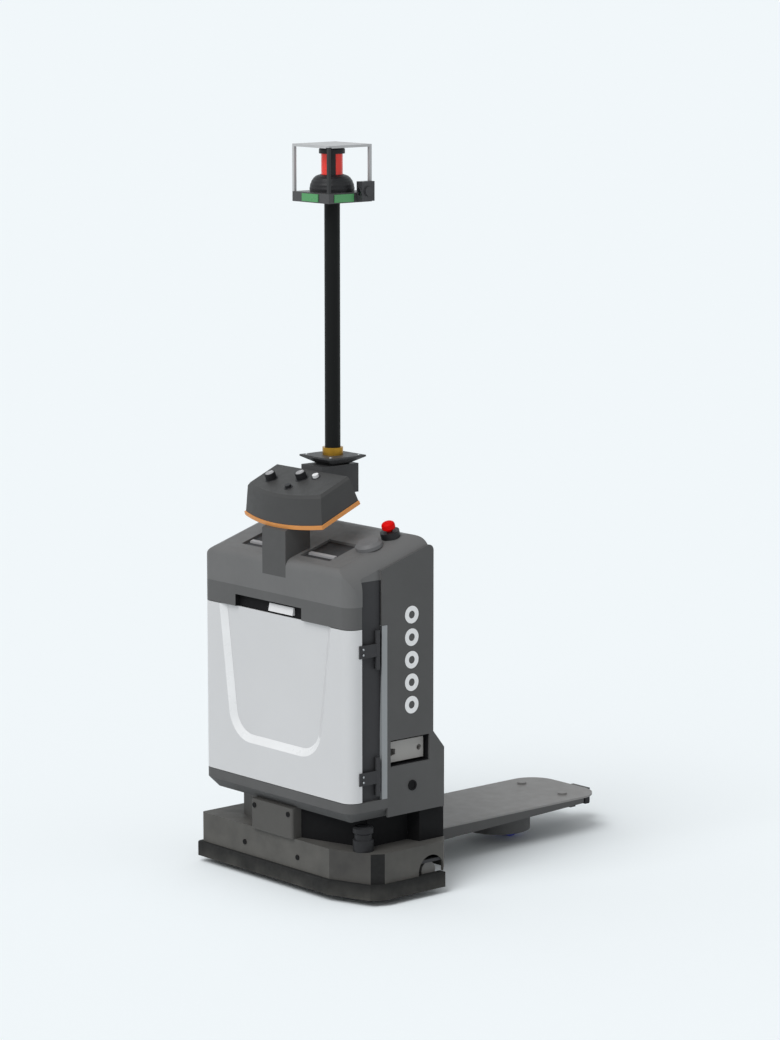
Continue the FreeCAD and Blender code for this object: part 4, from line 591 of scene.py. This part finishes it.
def block_mesh(name, size):
    """Box centred on its foot."""
    shape = bmesh.new()
    bmesh.ops.create_cube(shape, size=1.0)
    bmesh.ops.transform(shape, matrix=Matrix.Diagonal((*size, 1)), verts=shape.verts)
    bmesh.ops.translate(shape, vec=(0, 0, size[2] / 2), verts=shape.verts)
    return finished_mesh(name, shape)


def stand(mesh, place, normal):
    """Moves a mesh's foot to a place and turns its +Z onto a normal."""
    facing = Vector(normal).to_track_quat("Z", "Y").to_matrix().to_4x4()
    mesh.transform(Matrix.Translation(Vector(place)) @ facing)
    return mesh


def body_of(node):
    return frame["nodes"][node]["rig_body"]


def joint_row(name):
    return next(row for row in frame["joints"] if row["name"] == name)


def points_of(node):
    item = frame["nodes"][node]
    return [item.matrix_world @ v.co for v in item.data.vertices]


def axis_of(node, joint):
    """A point on a turned piece's axis, and the axis itself pointing upwards."""
    points = points_of(node)
    normal = Vector(joint_row(joint)["axis"]).normalized()
    return sum(points, Vector()) / len(points), (normal if normal.z > 0 else -normal)


def top_of(node, place, normal):
    """How far a node reaches from a place along a normal."""
    return max((point - place).dot(normal) for point in points_of(node))


def radius_of(node, place, normal):
    """How far a node reaches from the axis through a place along a normal."""
    steps = [point - place for point in points_of(node)]
    return max((step - normal * step.dot(normal)).length for step in steps)


def first_touch(node, start, direction):
    """Where a line from a point first meets a node."""
    item = frame["nodes"][node]
    inverse = item.matrix_world.inverted()
    place = item.ray_cast(inverse @ Vector(start), inverse.to_3x3() @ Vector(direction))[1]
    return item.matrix_world @ place


# ---- screws ----------------------------------------------------------------------------------------

# A button head with a round socket, from axis to axis, in head radii.
SCREW_PROFILE = ((0, 0), (1, 0), (1, 0.25), (0.82, 0.5), (0.5, 0.58), (0.5, 0.2), (0, 0.2))
SCREW_SEGMENTS = 24
SCREW_RADIUS = 0.005
SCREW_SUNK = 0.0004

PLATE_INSET = 0.016

LEAF_SCREW_RADIUS = 0.0035
LEAF_SCREW_SUNK = 0.0003
LEAF_SCREW_ENDS = (0.011, 0.028)
LEAF_SCREW_INSET = 0.012

COVER_INSET = 0.02
COVER_ENDS = 0.03
COVER_SCREWS = 4
BEHIND = 1.0

HUB_BOLTS = 5
HUB_START = 18
HUB_RING = 0.022
HUB_DISH = 0.004
SIDE_WHEELS = (("side_wheel_left", "left_wheel_spin"), ("side_wheel_right", "right_wheel_spin"))


def cap_screw(name, place, normal, radius, body):
    profile = [(across * radius, up * radius) for across, up in SCREW_PROFILE]
    head = turned_mesh(name, profile, SCREW_SEGMENTS)
    new_piece(name, stand(head, place, normal), body, "steel")


def plate_screws():
    """Screws at the corners of the mast's square foot plate."""
    low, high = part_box("mast_bracket")
    wide = high.x - low.x
    for i, x in enumerate((low.x + PLATE_INSET, high.x - PLATE_INSET)):
        for j, y in enumerate((high.y - PLATE_INSET, high.y - wide + PLATE_INSET)):
            cap_screw("plate_screw_%d%d" % (i, j), (x, y, high.z - SCREW_SUNK), UP, SCREW_RADIUS, "base")


def leaf_screws():
    """Two screws through each of the door's hinge leaves."""
    low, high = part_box("hinge_leaves")
    near, far = LEAF_SCREW_ENDS
    for i, z in enumerate((low.z + near, low.z + far, high.z - far, high.z - near)):
        spot = (high.x - LEAF_SCREW_SUNK, low.y + LEAF_SCREW_INSET, z)
        cap_screw("leaf_screw_%d" % i, spot, RIGHT, LEAF_SCREW_RADIUS, body_of("hinge_leaves"))


def rear_screws():
    """Screws down both edges of the rear cover."""
    low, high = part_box("rear_cover")
    step = (high.z - low.z - 2 * COVER_ENDS) / (COVER_SCREWS - 1)
    for i, x in enumerate((low.x + COVER_INSET, high.x - COVER_INSET)):
        for j in range(COVER_SCREWS):
            spot = first_touch("rear_cover", (x, BEHIND, low.z + COVER_ENDS + j * step), FRONT)
            spot -= SCREW_SUNK * Vector(REAR)
            cap_screw("cover_screw_%d%d" % (i, j), spot, REAR, SCREW_RADIUS, "base")


def hub_screws():
    """Ring of screws in the dished outer face of each side wheel's hub."""
    for node, joint in SIDE_WHEELS:
        place = Vector(joint_row(joint)["pos_m"])
        low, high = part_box(node)
        side, face = (1, high.x) if place.x > 0 else (-1, low.x)
        for i in range(HUB_BOLTS):
            turn = math.radians(360 / HUB_BOLTS * i + HUB_START)
            spot = (face - side * HUB_DISH, place.y + HUB_RING * math.cos(turn),
                    place.z + HUB_RING * math.sin(turn))
            cap_screw("%s_bolt_%d" % (node, i), spot, (side, 0, 0), SCREW_RADIUS, body_of(node))


# ---- console ---------------------------------------------------------------------------------------

KNOBS = (("knob_left", "left_knob_turn"), ("knob_right", "right_knob_turn"))
BUTTONS = (("button_white", "white_button_press"), ("button_dark", "dark_button_press"))

BEZEL_FIT = 0.0008
BEZEL_WIDTH = 0.0035
BEZEL_SUNK = 0.0005
BEZEL_TOP = 0.0016
BEZEL_CHAMFER = 0.0008

# Shares of a knob's radius: its pale face at the foot and at the top, and its pointer.
KNOB_FACE = (0.8, 0.76)
POINTER_LENGTH = 0.7
POINTER_OFFSET = 0.38

KNOB_FACE_THICK = 0.0008
KNOB_FACE_SUNK = 0.0002
POINTER_WIDTH = 0.0022
POINTER_THICK = 0.0010
POINTER_LIFT = 0.0002


def bezel(node, foot, normal, radius):
    """Ring round a knob or button, on the console's slope."""
    inner = radius + BEZEL_FIT
    outer = inner + BEZEL_WIDTH
    ring = turned_mesh(node + "_bezel", [(inner, -BEZEL_SUNK), (outer, -BEZEL_SUNK),
                                         (outer, BEZEL_TOP - BEZEL_CHAMFER),
                                         (outer - BEZEL_CHAMFER, BEZEL_TOP), (inner, BEZEL_TOP)])
    new_piece(node + "_bezel", stand(ring, foot, normal), "base", "black_plastic")


def knob_face(node, place, normal, radius):
    """Pale face with a raised pointer on top of a knob."""
    top = top_of(node, place, normal)
    foot_radius, top_radius = (radius * share for share in KNOB_FACE)
    face = turned_mesh(node + "_face", [(0, 0), (foot_radius, 0), (top_radius, KNOB_FACE_THICK),
                                        (0, KNOB_FACE_THICK)])
    stand(face, place + normal * (top - KNOB_FACE_SUNK), normal)
    new_piece(node + "_face", face, body_of(node), "grey_plastic")
    mark = block_mesh(node + "_pointer", (POINTER_WIDTH, radius * POINTER_LENGTH, POINTER_THICK))
    mark.transform(Matrix.Translation((0, radius * POINTER_OFFSET, 0)))
    stand(mark, place + normal * (top + POINTER_LIFT), normal)
    new_piece(node + "_pointer", mark, body_of(node), "white_plastic")


def control_fittings():
    """Bezels round the console's knobs and buttons, and the faces of the knobs."""
    slope = Vector(joint_row("left_knob_turn")["pos_m"])
    for node, joint in KNOBS + BUTTONS:
        place, normal = axis_of(node, joint)
        radius = radius_of(node, place, normal)
        bezel(node, place + normal * (slope - place).dot(normal), normal, radius)
        if (node, joint) in KNOBS:
            knob_face(node, place, normal, radius)


# ---- stop button -----------------------------------------------------------------------------------

STOP_RADIUS = 0.0205
STOP_RISE = 0.011
STOP_SUNK = 0.003
STOP_STEPS = 8
STOP_SEGMENTS = 40


def stop_dome():
    """Fuller red dome over the stop button's head."""
    place, normal = axis_of("stop_button", "stop_press")
    top = top_of("stop_button", place, normal)
    turns = [math.radians(90 * i / STOP_STEPS) for i in range(STOP_STEPS)]
    arc = [(STOP_RADIUS * math.cos(t), STOP_RISE * math.sin(t)) for t in turns]
    dome = turned_mesh("stop_dome", [(0, 0)] + arc + [(0, STOP_RISE)], STOP_SEGMENTS)
    new_piece("stop_dome", stand(dome, place + normal * (top - STOP_SUNK), normal), body_of("stop_button"),
              "red_plastic")


# ---- scanner and camera ----------------------------------------------------------------------------

# The foot dome's outline: shares of the foot's radius and height, and every second step a rib.
DOME_STEPS = 12
DOME_NECK = 0.54
DOME_BULGE = 0.47
DOME_FOOT = 0.08
DOME_RISE = 0.9
DOME_RIB = 0.0008
DOME_BORE = 0.035
DOME_INSIDE_TOP = 0.9
DOME_INSIDE_RADIUS = 0.9
DOME_SEGMENTS = 48

# The sector of the window that the pillar covers, in degrees from +X.
PILLAR_START = -47
PILLAR_END = -20
PILLAR_STEPS = 8
PILLAR_SUNK = 0.0004
PILLAR_THICK = 0.0012

# The lens barrel's rim and its slightly domed glass, from axis to axis.
LENS_PROFILE = ((0, 0), (0.011, 0), (0.011, 0.003), (0.009, 0.004), (0.008, 0.0025), (0.005, 0.0032),
                (0, 0.0034))
LENS_SUNK = 0.0008


def foot_dome():
    """Ribbed black dome round the scanner's foot."""
    low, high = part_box("scanner_foot")
    middle = (low + high) / 2
    wide, tall = (high.x - low.x) / 2, high.z - low.z
    outline = []
    for i in range(DOME_STEPS + 1):
        turn = math.radians(90 / DOME_STEPS * i)
        radius = wide * (DOME_NECK + DOME_BULGE * math.cos(turn)) + (DOME_RIB if i % 2 else 0)
        outline.append((radius, tall * (DOME_FOOT + DOME_RISE * math.sin(turn))))
    outline += [(DOME_BORE, tall * (DOME_FOOT + DOME_RISE)), (DOME_BORE, tall * DOME_INSIDE_TOP),
                (wide * DOME_INSIDE_RADIUS, tall * DOME_FOOT)]
    dome = turned_mesh("foot_dome", outline, DOME_SEGMENTS)
    new_piece("foot_dome", stand(dome, (middle.x, middle.y, low.z), UP), "base", "black_plastic")


def window_pillar():
    """Black pillar that covers a sector of the scanner's window, beside the cage's front post."""
    low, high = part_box("scanner_window")
    middle = (low + high) / 2
    inner = (high.x - low.x) / 2 - PILLAR_SUNK
    outer = inner + PILLAR_THICK
    shape = bmesh.new()
    rings = []
    for i in range(PILLAR_STEPS + 1):
        turn = math.radians(PILLAR_START + (PILLAR_END - PILLAR_START) * i / PILLAR_STEPS)
        ray = Vector((math.cos(turn), math.sin(turn), 0))
        rings.append([shape.verts.new(Vector((middle.x, middle.y, z)) + ray * radius)
                      for radius, z in ((inner, low.z), (outer, low.z), (outer, high.z), (inner, high.z))])
    for near, far in zip(rings, rings[1:]):
        for k in range(4):
            shape.faces.new((near[k], near[(k + 1) % 4], far[(k + 1) % 4], far[k]))
    shape.faces.new(rings[0])
    shape.faces.new(rings[-1])
    new_piece("window_pillar", finished_mesh("window_pillar", shape), "base", "black_plastic")


def camera_lens():
    """Lens on the front of the camera module."""
    low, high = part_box("camera_module")
    middle = (low + high) / 2
    barrel = turned_mesh("camera_lens", LENS_PROFILE)
    new_piece("camera_lens", stand(barrel, (middle.x, low.y + LENS_SUNK, middle.z), FRONT), "base",
              "black_glass")


# ---- assembly --------------------------------------------------------------------------------------

make_camera()
make_world()
make_lamp("key", *KEY_LAMP)
make_lamp("fill", *FILL_LAMP)
make_floor()
dress_nodes()
add_second_finishes()
plate_screws()
leaf_screws()
rear_screws()
hub_screws()
control_fittings()
stop_dome()
foot_dome()
window_pillar()
camera_lens()
